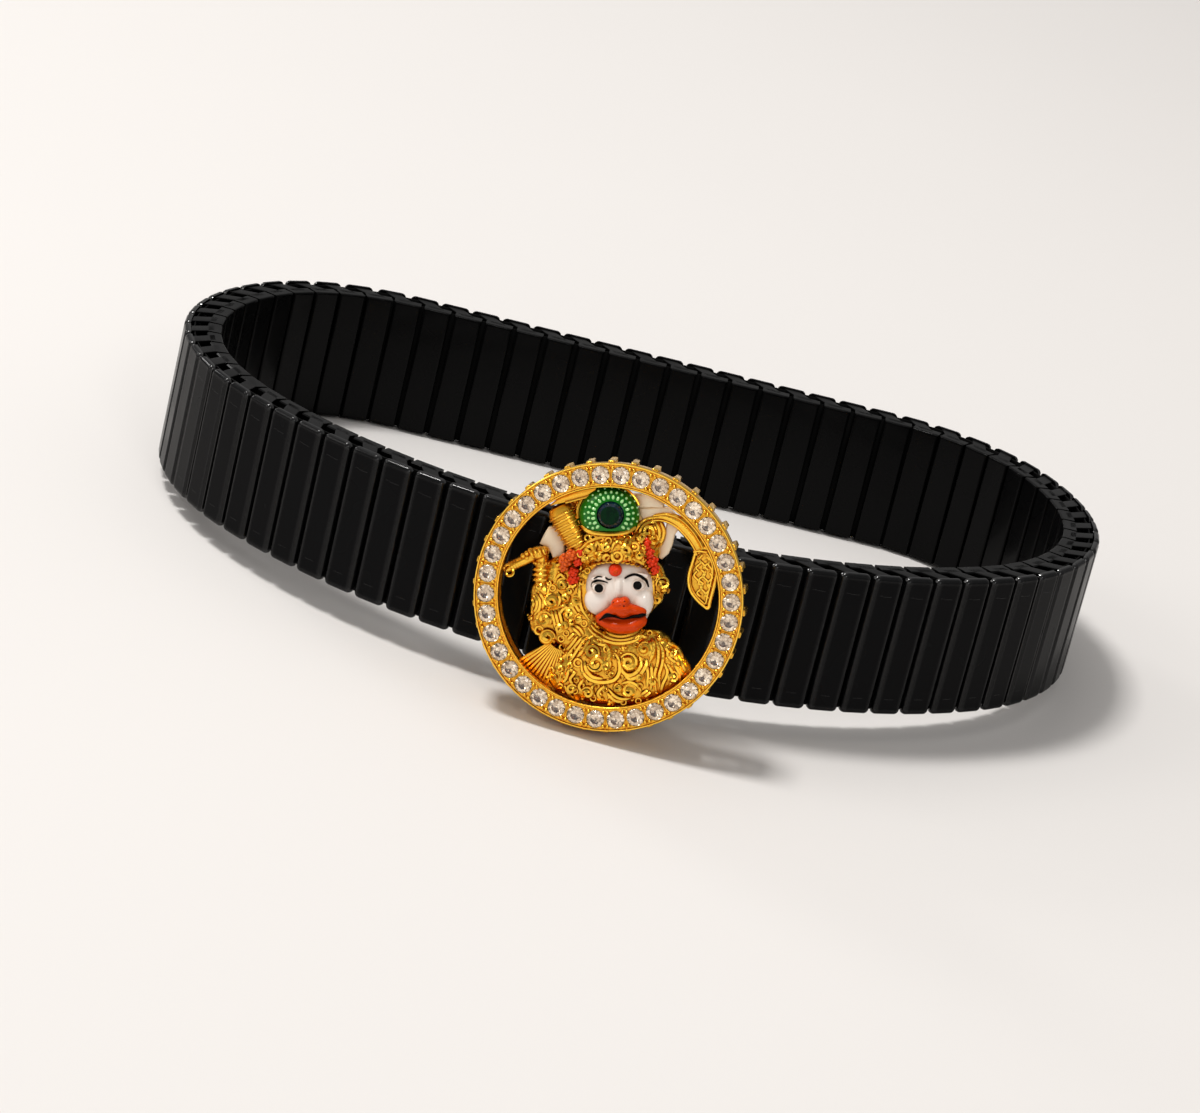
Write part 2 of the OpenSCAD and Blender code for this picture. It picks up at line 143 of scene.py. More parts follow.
def box(low, high):
    bpy.ops.mesh.primitive_cube_add(size=1, location=[(a + b) / 2 for a, b in zip(low, high)])
    obj = bpy.context.active_object
    obj.scale = [b - a for a, b in zip(low, high)]
    return applied(obj)


def hoop(at, radius, wire, segments, sides, turn=(0, 0, 0)):
    bpy.ops.mesh.primitive_torus_add(location=at, rotation=[math.radians(a) for a in turn],
                                     major_radius=radius, minor_radius=wire,
                                     major_segments=segments, minor_segments=sides)
    return bpy.context.active_object


def hulled(rows, segments=20):  # a hull round balls, given as rows of place and half sizes
    obj = joined("mass", [ball(row[:3], row[3:6], segments, segments // 2) for row in rows])
    with editing(obj):
        bpy.ops.mesh.convex_hull()
    return obj


def blended(name, parts, voxel, rounds):  # overlapping masses become one soft skin
    obj = joined(name, parts)
    modified(obj, "REMESH", mode="VOXEL", voxel_size=voxel)
    return modified(obj, "SMOOTH", factor=0.5, iterations=rounds)


def everyEdge(a, b):
    return True


def eased(obj, test, width, steps):  # bevels the edges whose two ends pass the test
    with editing(obj):
        bpy.ops.mesh.select_mode(type="EDGE")
        bpy.ops.mesh.select_all(action="DESELECT")
    points = obj.data.vertices
    for edge in obj.data.edges:
        edge.select = test(points[edge.vertices[0]].co, points[edge.vertices[1]].co)
    bpy.ops.object.mode_set(mode="EDIT")
    bpy.ops.mesh.bevel(offset=width, segments=steps, profile=0.5, affect="EDGES")
    bpy.ops.object.mode_set(mode="OBJECT")
    return obj


def outlined(name, points, edges=(), faces=()):
    mesh = bpy.data.meshes.new(name)
    mesh.from_pydata(points, list(edges), list(faces))
    obj = bpy.data.objects.new(name, mesh)
    bpy.context.scene.collection.objects.link(obj)
    return obj


def spun(name, profile, steps, closed=True):  # a [radius, z] profile turned round Z
    count = len(profile)
    runs = [(k, (k + 1) % count) for k in range(count if closed else count - 1)]
    obj = outlined(name, [(r, 0, z) for r, z in profile], edges=runs)
    with editing(obj):
        bpy.ops.mesh.spin(steps=steps, angle=math.tau, center=(0, 0, 0), axis=(0, 0, 1))
        bpy.ops.mesh.select_all(action="SELECT")
        bpy.ops.mesh.remove_doubles(threshold=0.0005)
        bpy.ops.mesh.normals_make_consistent(inside=False)
    return obj


def thickened(name, points, move):  # a flat outline given thickness
    obj = outlined(name, points, faces=[list(range(len(points)))])
    with editing(obj):
        bpy.ops.mesh.extrude_region_move(TRANSFORM_OT_translate={"value": move})
        bpy.ops.mesh.select_all(action="SELECT")
        bpy.ops.mesh.normals_make_consistent(inside=False)
    return obj


def plate(name, outline, low, high, edge=0, steps=2):  # lies flat, with soft edges above and below
    obj = thickened(name, [(x, y, low) for x, y in outline], (0, 0, high - low))
    return eased(obj, lambda a, b: abs(a.z - b.z) < tiny, edge, steps) if edge else obj


def asMesh(data):  # the mesh of a new curve
    obj = bpy.data.objects.new(data.name, data)
    bpy.context.scene.collection.objects.link(obj)
    pickOnly(obj)
    bpy.ops.object.convert(target="MESH")
    return bpy.context.active_object


def wires(name, strokes, fineness=1):  # strokes are lists of (x, y, z, radius)
    data = bpy.data.curves.new(name, "CURVE")
    data.dimensions = "3D"
    data.bevel_depth = 1
    data.bevel_resolution = fineness
    data.use_fill_caps = True
    for stroke in strokes:
        spline = data.splines.new("POLY")
        spline.points.add(len(stroke) - 1)
        for point, (x, y, z, r) in zip(spline.points, stroke):
            point.co = (x, y, z, 1)
            point.radius = r
    return asMesh(data)


def rounded(points, steps=6):  # a smooth run through a few points, each stretch a cubic between two of them
    run = []
    count = len(points)
    for k in range(count - 1):
        a, b = points[max(k - 1, 0)], points[k]
        c, d = points[k + 1], points[min(k + 2, count - 1)]
        for j in range(steps):
            t = j / steps
            run.append([0.5 * (2 * q + (r - p) * t + (2 * p - 5 * q + 4 * r - s) * t * t
                               + (3 * q - p - 3 * r + s) * t ** 3) for p, q, r, s in zip(a, b, c, d)])
    run.append(list(points[-1]))
    return run


# Finishes
def shaderGroup(name, inputs, outputs):
    group = bpy.data.node_groups.new(name, "ShaderNodeTree")
    for label, value in inputs.items():
        socket = group.interface.new_socket(label, in_out="INPUT", socket_type="NodeSocketFloat")
        socket.default_value = value
    for label in outputs:
        group.interface.new_socket(label, in_out="OUTPUT", socket_type="NodeSocketFloat")
    return group, group.nodes.new("NodeGroupInput"), group.nodes.new("NodeGroupOutput")


def feed(tree, socket, value):  # a socket takes a link, a number or a colour
    if isinstance(value, bpy.types.NodeSocket):
        tree.links.new(value, socket)
    else:
        socket.default_value = (*value, 1) if socket.type == "RGBA" else value


def added(tree, kind, values=None, **sockets):
    node = tree.nodes.new(kind)
    for key, value in (values or {}).items():
        setattr(node, key, value)
    for label, value in sockets.items():
        feed(tree, node.inputs[label.replace("_", " ")], value)
    return node


def placed(tree, group, **sockets):
    return added(tree, "ShaderNodeGroup", {"node_tree": group}, **sockets)


def blendOf(tree, mask, a, b):  # colour a where the mask is 0, colour b where it is 1
    node = added(tree, "ShaderNodeMix", {"data_type": "RGBA"})
    for place, value in ((0, mask), (6, a), (7, b)):
        feed(tree, node.inputs[place], value)
    return node.outputs[2]


def blank(name):  # a new material with its tree and its shader
    mat = bpy.data.materials.new(name)
    mat.use_nodes = True
    return mat, mat.node_tree, mat.node_tree.nodes["Principled BSDF"]


wear = {
    "dull": 0.9, "bright": 1.08, "cloudLow": 0.35, "cloudHigh": 0.65,
    "samples": 6, "flat": 0.9, "edge": 0.74,  # how open a worn edge reads from inside, and where it begins
}

# Surface grain: a fine roughness of the surface and a broad, cloudy one from handling
grainGroup, grainIn, grainOut = shaderGroup("surfaceGrain", {"Fine": 9000, "Broad": 500, "Stretch": 1},
                                            ("Height", "Cloud"))
where = added(grainGroup, "ShaderNodeTexCoord").outputs["Object"]
stretch = added(grainGroup, "ShaderNodeCombineXYZ", X=1.0, Y=1.0, Z=grainIn.outputs["Stretch"]).outputs[0]
along = added(grainGroup, "ShaderNodeVectorMath", {"operation": "MULTIPLY"})
grainGroup.links.new(where, along.inputs[0])
grainGroup.links.new(stretch, along.inputs[1])
fine = added(grainGroup, "ShaderNodeTexNoise", Vector=along.outputs[0], Scale=grainIn.outputs["Fine"],
             Detail=3.0)
broad = added(grainGroup, "ShaderNodeTexNoise", Vector=where, Scale=grainIn.outputs["Broad"], Detail=2.0)
grainGroup.links.new(fine.outputs[0], grainOut.inputs["Height"])
grainGroup.links.new(broad.outputs[0], grainOut.inputs["Cloud"])

# Recess: 0 deep in the relief and 1 on what stands clear of it; it lays the painted shade of the hollows
recessGroup, recessIn, recessOut = shaderGroup("recess", {"Reach": 0.0006, "Contrast": 1.4}, ("Open",))
shade = added(recessGroup, "ShaderNodeAmbientOcclusion", {"samples": wear["samples"]},
              Distance=recessIn.outputs["Reach"])
opened = added(recessGroup, "ShaderNodeMath", {"operation": "POWER", "use_clamp": True})
recessGroup.links.new(shade.outputs["AO"], opened.inputs[0])
recessGroup.links.new(recessIn.outputs["Contrast"], opened.inputs[1])
recessGroup.links.new(opened.outputs[0], recessOut.inputs["Open"])

# Edge: 1 along the outer edges of a piece, where a coating is polished by wear
edgeGroup, edgeIn, edgeOut = shaderGroup("edge", {"Reach": 0.0003}, ("Edge",))
edgeShade = added(edgeGroup, "ShaderNodeAmbientOcclusion", {"samples": wear["samples"], "inside": True},
                  Distance=edgeIn.outputs["Reach"])
edgeMask = added(edgeGroup, "ShaderNodeMapRange", Value=edgeShade.outputs["AO"], From_Min=wear["flat"],
                 From_Max=wear["edge"], To_Min=0.0, To_Max=1.0)
edgeGroup.links.new(edgeMask.outputs[0], edgeOut.inputs["Edge"])

# Lengths in finishes are in metres, and fine and broad are the scales of the grain
anyFinish = {"fine": 3400, "broad": 1500, "stretch": 1, "bump": 0.00001, "metal": 0, "specular": 0.2,
             "coatRough": 0.08, "coatIor": 1.5}
# Each finish's second colour is painted shade, laid deep in the relief through the recess mask
finishes = {
    "blackSteel": {"colour": (0.0045, 0.0046, 0.0049), "paintedShade": (0.0006, 0.0006, 0.0006), "reach": 0.0009,
                   "rough": (0.18, 0.28), "coat": 0.004, "edgeCoat": 0.5, "coatIor": 2.2, "coatRough": 0.06,
                   "fine": 16000, "broad": 260, "stretch": 0.06, "bump": 0.0000012, "specular": 0.025},
    # The inner links' steel is the outer links' steel made darker, as painted shade inside the loop
    "innerSteel": {"colour": (0.0016, 0.0016, 0.0017), "paintedShade": (0.0005, 0.0005, 0.0005), "reach": 0.0009,
                   "rough": (0.22, 0.34), "coat": 0.05, "fine": 16000, "broad": 260, "stretch": 0.06,
                   "bump": 0.0000012, "specular": 0.05},
    # The spring's steel is darker than the links' steel, as painted shade in the gaps where it shows
    "springSteel": {"colour": (0.0012, 0.0012, 0.0012), "paintedShade": (0.0006, 0.0006, 0.0006), "reach": 0.0009,
                    "rough": (0.4, 0.55), "coat": 0, "fine": 9000, "broad": 400, "bump": 0.000001,
                    "specular": 0.04},
    "gold": {"colour": (1.0, 0.56, 0.062), "paintedShade": (0.60, 0.20, 0.008), "reach": 0.0006,
             "rough": (0.18, 0.30), "coat": 0, "fine": 5200, "broad": 700, "bump": 0.000012, "metal": 1,
             "specular": 0.5},
    "chasedGold": {"colour": (1.0, 0.57, 0.062), "paintedShade": (0.50, 0.14, 0.004), "reach": 0.0007,
                   "rough": (0.16, 0.28), "coat": 0, "fine": 2700, "broad": 700, "bump": 0.00005, "metal": 1,
                   "specular": 0.5},
    # Rougher gold, with its colour darkened as painted shade, for the valleys of the mace
    "dullShadedGold": {"colour": (0.92, 0.50, 0.045), "paintedShade": (0.40, 0.12, 0.003), "reach": 0.0004,
                 "rough": (0.28, 0.4), "coat": 0, "fine": 2700, "broad": 700, "bump": 0.00003, "metal": 1,
                 "specular": 0.5},
    "whiteEnamel": {"colour": (0.94, 0.83, 0.74), "paintedShade": (0.62, 0.40, 0.25), "reach": 0.0007,
                    "rough": (0.2, 0.3), "coat": 0.6, "fine": 3000, "broad": 700, "bump": 0.000004,
                    "specular": 0.5},
    "creamEnamel": {"colour": (0.97, 0.80, 0.58), "paintedShade": (0.75, 0.45, 0.20), "reach": 0.0007,
                    "rough": (0.2, 0.3), "coat": 0.6, "fine": 3000, "broad": 700, "bump": 0.000004,
                    "specular": 0.5},
    "orangeEnamel": {"colour": (0.66, 0.050, 0.0), "paintedShade": (0.24, 0.009, 0.0), "reach": 0.0006,
                     "rough": (0.2, 0.32), "coat": 0.1, "bump": 0.000014, "specular": 0.12},
    "redEnamel": {"colour": (0.85, 0.040, 0.001), "paintedShade": (0.34, 0.008, 0.0), "reach": 0.0005,
                  "rough": (0.2, 0.32), "coat": 0.1},
    "petalOrange": {"colour": (0.80, 0.115, 0.004), "paintedShade": (0.34, 0.02, 0.0), "reach": 0.0005,
                    "rough": (0.2, 0.32), "coat": 0.2},
    "greenEnamel": {"colour": (0.004, 0.15, 0.005), "paintedShade": (0.001, 0.03, 0.002), "reach": 0.0005,
                    "rough": (0.14, 0.24), "coat": 0.15},
    "paleGreen": {"colour": (0.42, 0.82, 0.30), "paintedShade": (0.08, 0.35, 0.09), "reach": 0.0002,
                  "rough": (0.12, 0.2), "coat": 0.9, "bump": 0.000004, "specular": 0.5},
    "blackPaint": {"colour": (0.002, 0.0015, 0.0015), "paintedShade": (0.001, 0.001, 0.001), "reach": 0.0002,
                   "rough": (0.3, 0.4), "coat": 0.03, "bump": 0.000002, "specular": 0.06},
}


def finishOf(name):
    look = {**anyFinish, **finishes[name]}
    mat, tree, shader = blank(name)
    grain = placed(tree, grainGroup, Fine=look["fine"], Broad=look["broad"], Stretch=look["stretch"])
    recess = placed(tree, recessGroup, Reach=look["reach"])
    clouds = added(tree, "ShaderNodeMapRange", Value=grain.outputs["Cloud"], From_Min=wear["cloudLow"],
                   From_Max=wear["cloudHigh"], To_Min=look["rough"][0], To_Max=look["rough"][1])
    tree.links.new(clouds.outputs[0], shader.inputs["Roughness"])
    dull = [c * wear["dull"] for c in look["colour"]]
    bright = [min(1, c * wear["bright"]) for c in look["colour"]]
    worn = blendOf(tree, grain.outputs["Cloud"], dull, bright)
    # Deep in the relief the colour turns to the painted shade
    tree.links.new(blendOf(tree, recess.outputs["Open"], look["paintedShade"], worn), shader.inputs["Base Color"])
    bump = added(tree, "ShaderNodeBump", Height=grain.outputs["Height"], Distance=look["bump"], Strength=1.0)
    tree.links.new(bump.outputs[0], shader.inputs["Normal"])
    for label, key in (("Metallic", "metal"), ("Specular IOR Level", "specular"), ("Coat Weight", "coat"),
                       ("Coat Roughness", "coatRough"), ("Coat IOR", "coatIor")):
        shader.inputs[label].default_value = look[key]
    if "edgeCoat" in look:
        edge = placed(tree, edgeGroup)
        coating = added(tree, "ShaderNodeMapRange", Value=edge.outputs["Edge"], To_Min=look["coat"],
                        To_Max=look["edgeCoat"])
        tree.links.new(coating.outputs[0], shader.inputs["Coat Weight"])
    return mat


fire = {"fine": 2500, "broad": 900, "low": 0.44, "high": 0.56}  # specks of dark and tint in a stone
stones = {
    "clearStone": {"tint": (0.93, 0.78, 0.60), "dark": (0.42, 0.30, 0.20), "ior": 1.7, "rough": 0.0,
                   "clear": 1},
    # stoneShade tints every other back facet dark: painted shade for the stone's dark reflections
    "stoneShade": {"tint": (0.20, 0.13, 0.09), "dark": (0.07, 0.045, 0.03), "ior": 1.7, "rough": 0.0,
                   "clear": 1},
    "darkStone": {"tint": (0.0, 0.028, 0.006), "dark": (0.0, 0.018, 0.006), "ior": 1.15, "rough": 0.06,
                  "clear": 0.3},
    "stoneRim": {"tint": (0.004, 0.022, 0.045), "dark": (0.002, 0.012, 0.02), "ior": 1.4, "rough": 0.1,
                 "clear": 0.2},
}


def gemOf(name):
    look = stones[name]
    mat, tree, shader = blank(name)
    grain = placed(tree, grainGroup, Fine=fire["fine"], Broad=fire["broad"])
    specks = added(tree, "ShaderNodeMapRange", Value=grain.outputs["Height"], From_Min=fire["low"],
                   From_Max=fire["high"])
    tree.links.new(blendOf(tree, specks.outputs[0], look["dark"], look["tint"]), shader.inputs["Base Color"])
    for label, key in (("Transmission Weight", "clear"), ("IOR", "ior"), ("Roughness", "rough")):
        shader.inputs[label].default_value = look[key]
    return mat


coats = {name: finishOf(name) for name in finishes}
coats.update({name: gemOf(name) for name in stones})
print("stage: finishes made")


def painted(obj, name):
    obj.data.materials.clear()
    obj.data.materials.append(coats[name])
    return obj


# Band
band = {
    "links": 74, "height": 10.2, "thick": 2.8, "linkThick": 1.1,
    "phase": -0.36,  # of a link, from the middle of the front
    "frontRadius": 38, "frontTurn": 44, "sideRadius": 22, "sideTurn": 78, "cornerRadius": 12.8,
}
arcs = [(band["frontRadius"], band["frontTurn"]), (band["sideRadius"], band["sideTurn"]),
        (band["cornerRadius"], 180 - band["frontTurn"] - band["sideTurn"])]


def walked(s):  # point and heading after the length s from the middle of the front
    x = y = heading = 0.0
    for radius, turn in arcs:
        step = min(turn, math.degrees(s / radius))
        a, b = math.radians(heading), math.radians(heading + step)
        x += radius * (math.sin(b) - math.sin(a))
        y -= radius * (math.cos(b) - math.cos(a))
        heading += step
        s -= radius * math.radians(step)
        if step < turn:
            return x, y, heading
    return x - s, y, heading


arcLength = sum(radius * math.radians(turn) for radius, turn in arcs)
backX, loopDeep = walked(arcLength + 1e-9)[:2]
loopHalf = arcLength + backX
pitch = 2 * loopHalf / band["links"]
outFace = -band["thick"] / 2
armFace = band["thick"] / 2


def onLoop(s):  # X along the loop, Y inwards
    s %= 2 * loopHalf
    x, y, heading = walked(s) if s <= loopHalf else walked(2 * loopHalf - s)
    if s > loopHalf:
        x, heading = -x, -heading
    return Matrix.Translation((x, y - loopDeep / 2, 0)) @ Matrix.Rotation(math.radians(heading), 4, "Z")


outer = {
    "gap": 0.17, "cap": 0.45,
    "corner": 0.38, "face": 0.33,  # roundings, and the face's is the smaller
    "coreIn": 0.05, "coreDown": 0.5, "coreEdge": 0.1, "sunk": 0.02,
    "marks": [(-0.55, 3.72, 0.3), (-0.2, 3.67, 0.65), (-0.45, -3.9, 0.7)],  # left end, height, length
    "markProud": 0.002, "markSunk": 0.004, "markHigh": 0.008,
}


def outerLink():  # a rounded cap on a plain core, with faint marks of the press
    half, high, capBack = (pitch - outer["gap"]) / 2, band["height"] / 2, outFace + outer["cap"]
    cap = box((-half, outFace, -high), (half, capBack, high))
    eased(cap, lambda a, b: abs(a.x - b.x) < tiny and abs(a.z - b.z) < tiny, outer["corner"], 5)
    eased(cap, lambda a, b: max(a.y, b.y) < outFace + 0.01, outer["face"], 5)
    coreHalf, coreHigh = half - outer["coreIn"], high - outer["coreDown"]
    core = box((-coreHalf, capBack - outer["sunk"], -coreHigh),
               (coreHalf, outFace + band["linkThick"], coreHigh))
    eased(core, lambda a, b: abs(a.z - b.z) > high, outer["coreEdge"], 1)
    front, deep = outFace - outer["markProud"], outFace + outer["markSunk"]
    marks = [box((x, front, z), (x + long, deep, z + outer["markHigh"])) for x, z, long in outer["marks"]]
    parts = [painted(part, "blackSteel") for part in (cap, core)]
    parts += [painted(mark, "springSteel") for mark in marks]
    return smooth(joined("outerLink", parts), 40, True)


inner = {"gap": 0.36, "down": 0.1, "armEdge": 0.2, "endEdge": 0.08}
innerHigh = band["height"] / 2 - inner["down"]
staple = {
    "thick": 0.25, "wide": 1.3, "start": 0.85, "into": 0.08, "edge": 0.07,
    "tooth": 0.2, "toothDown": 0.3, "toothUp": 0.1,
}


def edgeStaple(side):  # a thin plate from an inner link to the outer ones, leaning along the loop
    between = band["thick"] - band["linkThick"]
    slant = pitch / 2 / between
    end = outFace + outer["cap"] + staple["into"]

    def leaning(start):
        return [((between / 2 - y) * slant + k * staple["wide"] / 2, y)
                for y, k in ((start, -1), (start, 1), (end, 1), (end, -1))]

    low = innerHigh - staple["thick"]
    flat = plate("staple", leaning(staple["start"]), low, innerHigh, staple["edge"])
    tooth = plate("tooth", leaning(end + staple["tooth"]), low - staple["toothDown"], low + staple["toothUp"])
    whole = joined("staple", [flat, tooth])
    if side < 0:
        whole.scale = (1, 1, -1)
        with editing(applied(whole)):
            bpy.ops.mesh.normals_make_consistent(inside=False)
    return whole


def innerLink():  # a flat leaf with a staple on each edge
    half, hiddenFace = (pitch - inner["gap"]) / 2, armFace - band["linkThick"]
    leaf = box((-half, hiddenFace, -innerHigh), (half, armFace, innerHigh))
    eased(leaf, lambda a, b: min(a.y, b.y) > armFace - 0.1, inner["armEdge"], 3)
    eased(leaf, lambda a, b: max(a.y, b.y) < hiddenFace + 0.1 and abs(a.z - b.z) < tiny, inner["endEdge"], 1)
    whole = joined("innerLink", [leaf, edgeStaple(1), edgeStaple(-1)])
    return smooth(painted(whole, "innerSteel"), 40, True)


spring = {"high": 9.8, "edge": 0.06, "underOuter": 0.75, "underInner": 0.6}


def leafSpring(depth):  # runs through a row of links
    count = 2 * band["links"]
    data = bpy.data.curves.new("spring", "CURVE")
    data.dimensions = "3D"
    data.extrude = spring["high"] / 2
    data.bevel_depth = spring["edge"]
    data.bevel_resolution = 0
    line = data.splines.new("POLY")
    line.points.add(count - 1)
    line.use_cyclic_u = True
    for k, point in enumerate(line.points):
        point.co = (*(onLoop(2 * loopHalf * k / count) @ Vector((0, depth, 0))), 1)
    return painted(asMesh(data), "springSteel")


def linkRow(name, master, offset, depth, node):
    row = [copied(master, onLoop((k + offset + band["phase"]) * pitch)) for k in range(band["links"])]
    dropped(master)
    settled(joined(name, row + [leafSpring(depth)]), atRest, node)


linkRow("outerLinks", outerLink(), 0, outFace + spring["underOuter"], "outer_links")
linkRow("innerLinks", innerLink(), -0.5, armFace - spring["underInner"], "inner_links")
print("stage: band made")

# Ring of the medallion
ring = {
    "at": (0.45, -24.6329, 1.35), "yaw": 5, "tilt": 9, "turn": 13.8,
    "rim": 9.0, "inner": 7.36, "thick": 2.9, "rail": 2.0, "backRail": 0.7, "plateAt": 2.76, "wall": 0.13,
    "steps": 152,  # round the rails, four to a stone
    "stones": 38, "firstStone": 94.2, "stoneCircle": 8.2, "stone": 0.6, "girdleAt": 2.74,
    "seatFoot": 0.1, "seat": 0.63, "seatDeep": 0.66, "slot": 0.035,
    "bezelOut": 0.022, "bezel": 0.028, "prong": 0.13, "prongOut": 0.47, "prongAcross": 0.15,
    "post": 0.44, "postProud": 0.14, "knob": (0.2, 0.3, 0.42),
}
onMedallion = (atRest @ Matrix.Translation(ring["at"]) @ Matrix.Rotation(math.radians(-ring["yaw"]), 4, "Z")
               @ Matrix.Rotation(math.radians(90 - ring["tilt"]), 4, "X")
               @ Matrix.Rotation(math.radians(ring["turn"]), 4, "Z"))
figureScale = 18 / 18.2  # the figure is drawn for a ring of 18.2
onFigure = onMedallion @ Matrix.Scale(figureScale, 4)
stepTurn = 360 / ring["stones"]


def roundRing(k):  # X outwards at the place of stone k
    return Matrix.Rotation(math.radians(ring["firstStone"] - k * stepTurn), 4, "Z")


def frontRail():  # a shallow channel with a seat for each stone and a cut between seats
    rim, inside, top, low = ring["rim"], ring["inner"], ring["thick"], ring["rail"]
    wall, plateAt = ring["wall"], ring["plateAt"]
    rail = spun("frontRail", [
        (inside + 0.04, low + 0.1), (inside + 0.2, low), (rim - 0.12, low), (rim, low + 0.12),
        (rim, top - 0.05), (rim - 0.04, top), (rim - wall + 0.03, top), (rim - wall, top - 0.04),
        (rim - wall - 0.02, plateAt), (inside + wall + 0.02, plateAt), (inside + wall, top - 0.1),
        (inside + wall - 0.03, top - 0.06), (inside + 0.04, top - 0.06), (inside, top - 0.11)], ring["steps"])
    bpy.ops.mesh.primitive_cone_add(vertices=20, radius1=ring["seatFoot"], radius2=ring["seat"],
                                    depth=ring["seatDeep"], location=(ring["stoneCircle"], 0, plateAt - 0.3))
    seat = bpy.context.active_object
    slot = box((ring["stoneCircle"] - 0.5, -ring["slot"], plateAt - 0.12),
               (ring["stoneCircle"] + 0.5, ring["slot"], plateAt + 0.1))
    cuts = []
    for k in range(ring["stones"]):
        cuts += [copied(seat, roundRing(k)), copied(slot, roundRing(k + 0.5))]
    dropped(seat, slot)
    return carved(rail, joined("seats", cuts))


def backRail():
    inside, outside, top = ring["inner"] + 0.1, ring["rim"] - 0.22, ring["backRail"]
    return spun("backRail", [(inside, 0.06), (inside + 0.06, 0), (outside - 0.12, 0), (outside, 0.1),
                             (outside, top - 0.08), (outside - 0.08, top), (inside + 0.06, top),
                             (inside, top - 0.06)], ring["steps"])


def prongSet():  # four grains between two stones
    grains = []
    size = (ring["prong"] * 1.2, ring["prong"], ring["prong"] * 1.2)
    for outwards in (-1, 1):
        for across in (-1, 1):
            at = (ring["stoneCircle"] + outwards * ring["prongOut"], across * ring["prongAcross"],
                  ring["plateAt"] + 0.06)
            grains.append(ball(at, size, 10, 7, (0, 0, -30 * outwards * across)))
    return joined("prong", grains)


def galleryPost():  # a post between the rails, with a knob outside
    half, rim = ring["post"] / 2, ring["rim"]
    post = box((rim - 0.5, -half, 0.3), (rim + ring["postProud"], half, ring["rail"] + 0.42))
    eased(post, lambda a, b: min(a.x, b.x) > rim or abs(a.x - b.x) > 0.3, 0.1, 3)
    return joined("post", [post, ball((rim - 0.06, 0, 1.35), ring["knob"], 14, 9)])


def stoneRing():
    parts = [frontRail(), backRail()]
    bezel = hoop((ring["stoneCircle"], 0, ring["plateAt"] + 0.015), ring["stone"] + ring["bezelOut"],
                 ring["bezel"], 28, 6)
    prongs = prongSet()
    post = galleryPost()
    for k in range(ring["stones"]):
        between = roundRing(k + 0.5)
        parts += [copied(bezel, roundRing(k)), copied(prongs, between), copied(post, between)]
    dropped(bezel, prongs, post)
    return joined("stoneRing", parts)


clip = {"inside": 5.25, "wall": 0.8, "lip": 2.85, "half": 2, "edge": 0.26, "ahead": 0.95, "behind": 0.15}
bridge = {"half": 1.6, "low": -5.1, "high": 3.57, "ahead": 1.7, "into": 0.4, "edge": 0.25}


def rearClip():  # bent over both edges of the band
    inside, wall, lip = clip["inside"], clip["wall"], clip["lip"]
    outside = inside + wall
    front = -loopDeep / 2 + outFace - clip["ahead"]
    back = -loopDeep / 2 + armFace + clip["behind"]
    shape = [(front, -outside), (back + wall, -outside), (back + wall, -lip), (back, -lip), (back, -inside),
             (front + wall, -inside), (front + wall, inside), (back, inside), (back, lip), (back + wall, lip),
             (back + wall, outside), (front, outside)]
    bent = thickened("clip", [(-clip["half"], y, z) for y, z in shape], (2 * clip["half"], 0, 0))
    block = box((-bridge["half"], front - bridge["ahead"], bridge["low"]),
                (bridge["half"], front + bridge["into"], bridge["high"]))
    return joined("rearClip", [eased(bent, everyEdge, clip["edge"], 4),
                               eased(block, everyEdge, bridge["edge"], 3)])


# Cast figure, drawn as (right, up, forwards) from the middle of the ring's back
masses = {  # hulls round rows of right, up, forwards and the three half sizes
    "torso": [(-0.4, -4.6, 1.5, 2.9, 2.2, 1.2), (2.9, -4.1, 1.3, 1.7, 1.9, 1.0),
              (4.3, -5.2, 1.4, 1.3, 1.5, 0.9), (-2.6, -5.5, 1.6, 1.7, 1.6, 0.9),
              (0.4, -6.4, 1.8, 3.3, 1.15, 0.85)],
    "shoulder": [(-3.9, -1.9, 1.3, 1.0, 1.3, 0.9), (-2.2, -2.6, 1.4, 1.5, 1.5, 1.0),
                 (-1.5, 0.2, 1.3, 1.6, 2.2, 0.9), (-3.5, 1.5, 1.2, 1.0, 1.2, 0.7)],
    "head": [(0.45, 0.3, 1.1, 2.75, 2.7, 0.9), (-1.6, 0.4, 1.2, 1.5, 2.3, 0.8),
             (2.9, 0.8, 1.2, 0.9, 1.6, 0.8)],
    "crown": [(-1.5, 3.0, 1.8, 1.1, 0.85, 0.9), (0.45, 3.42, 2.0, 1.75, 1.1, 1.05),
              (2.5, 3.05, 1.7, 0.9, 1.0, 0.8)],
    "plume": [(2.2, 4.0, 1.3, 0.8, 1.2, 0.8), (2.9, 4.3, 1.2, 0.8, 1.2, 0.7)],
    "haloBack": [(-0.1, 5.3, 1.0, 1.9, 1.9, 0.7), (0, 4.2, 1.1, 1.5, 0.9, 0.7)],
    "sleeve": [(-4.65, 0.2, 1.4, 0.75, 0.8, 0.8), (-4.5, -2.0, 1.4, 1.0, 1.0, 0.9)],
}
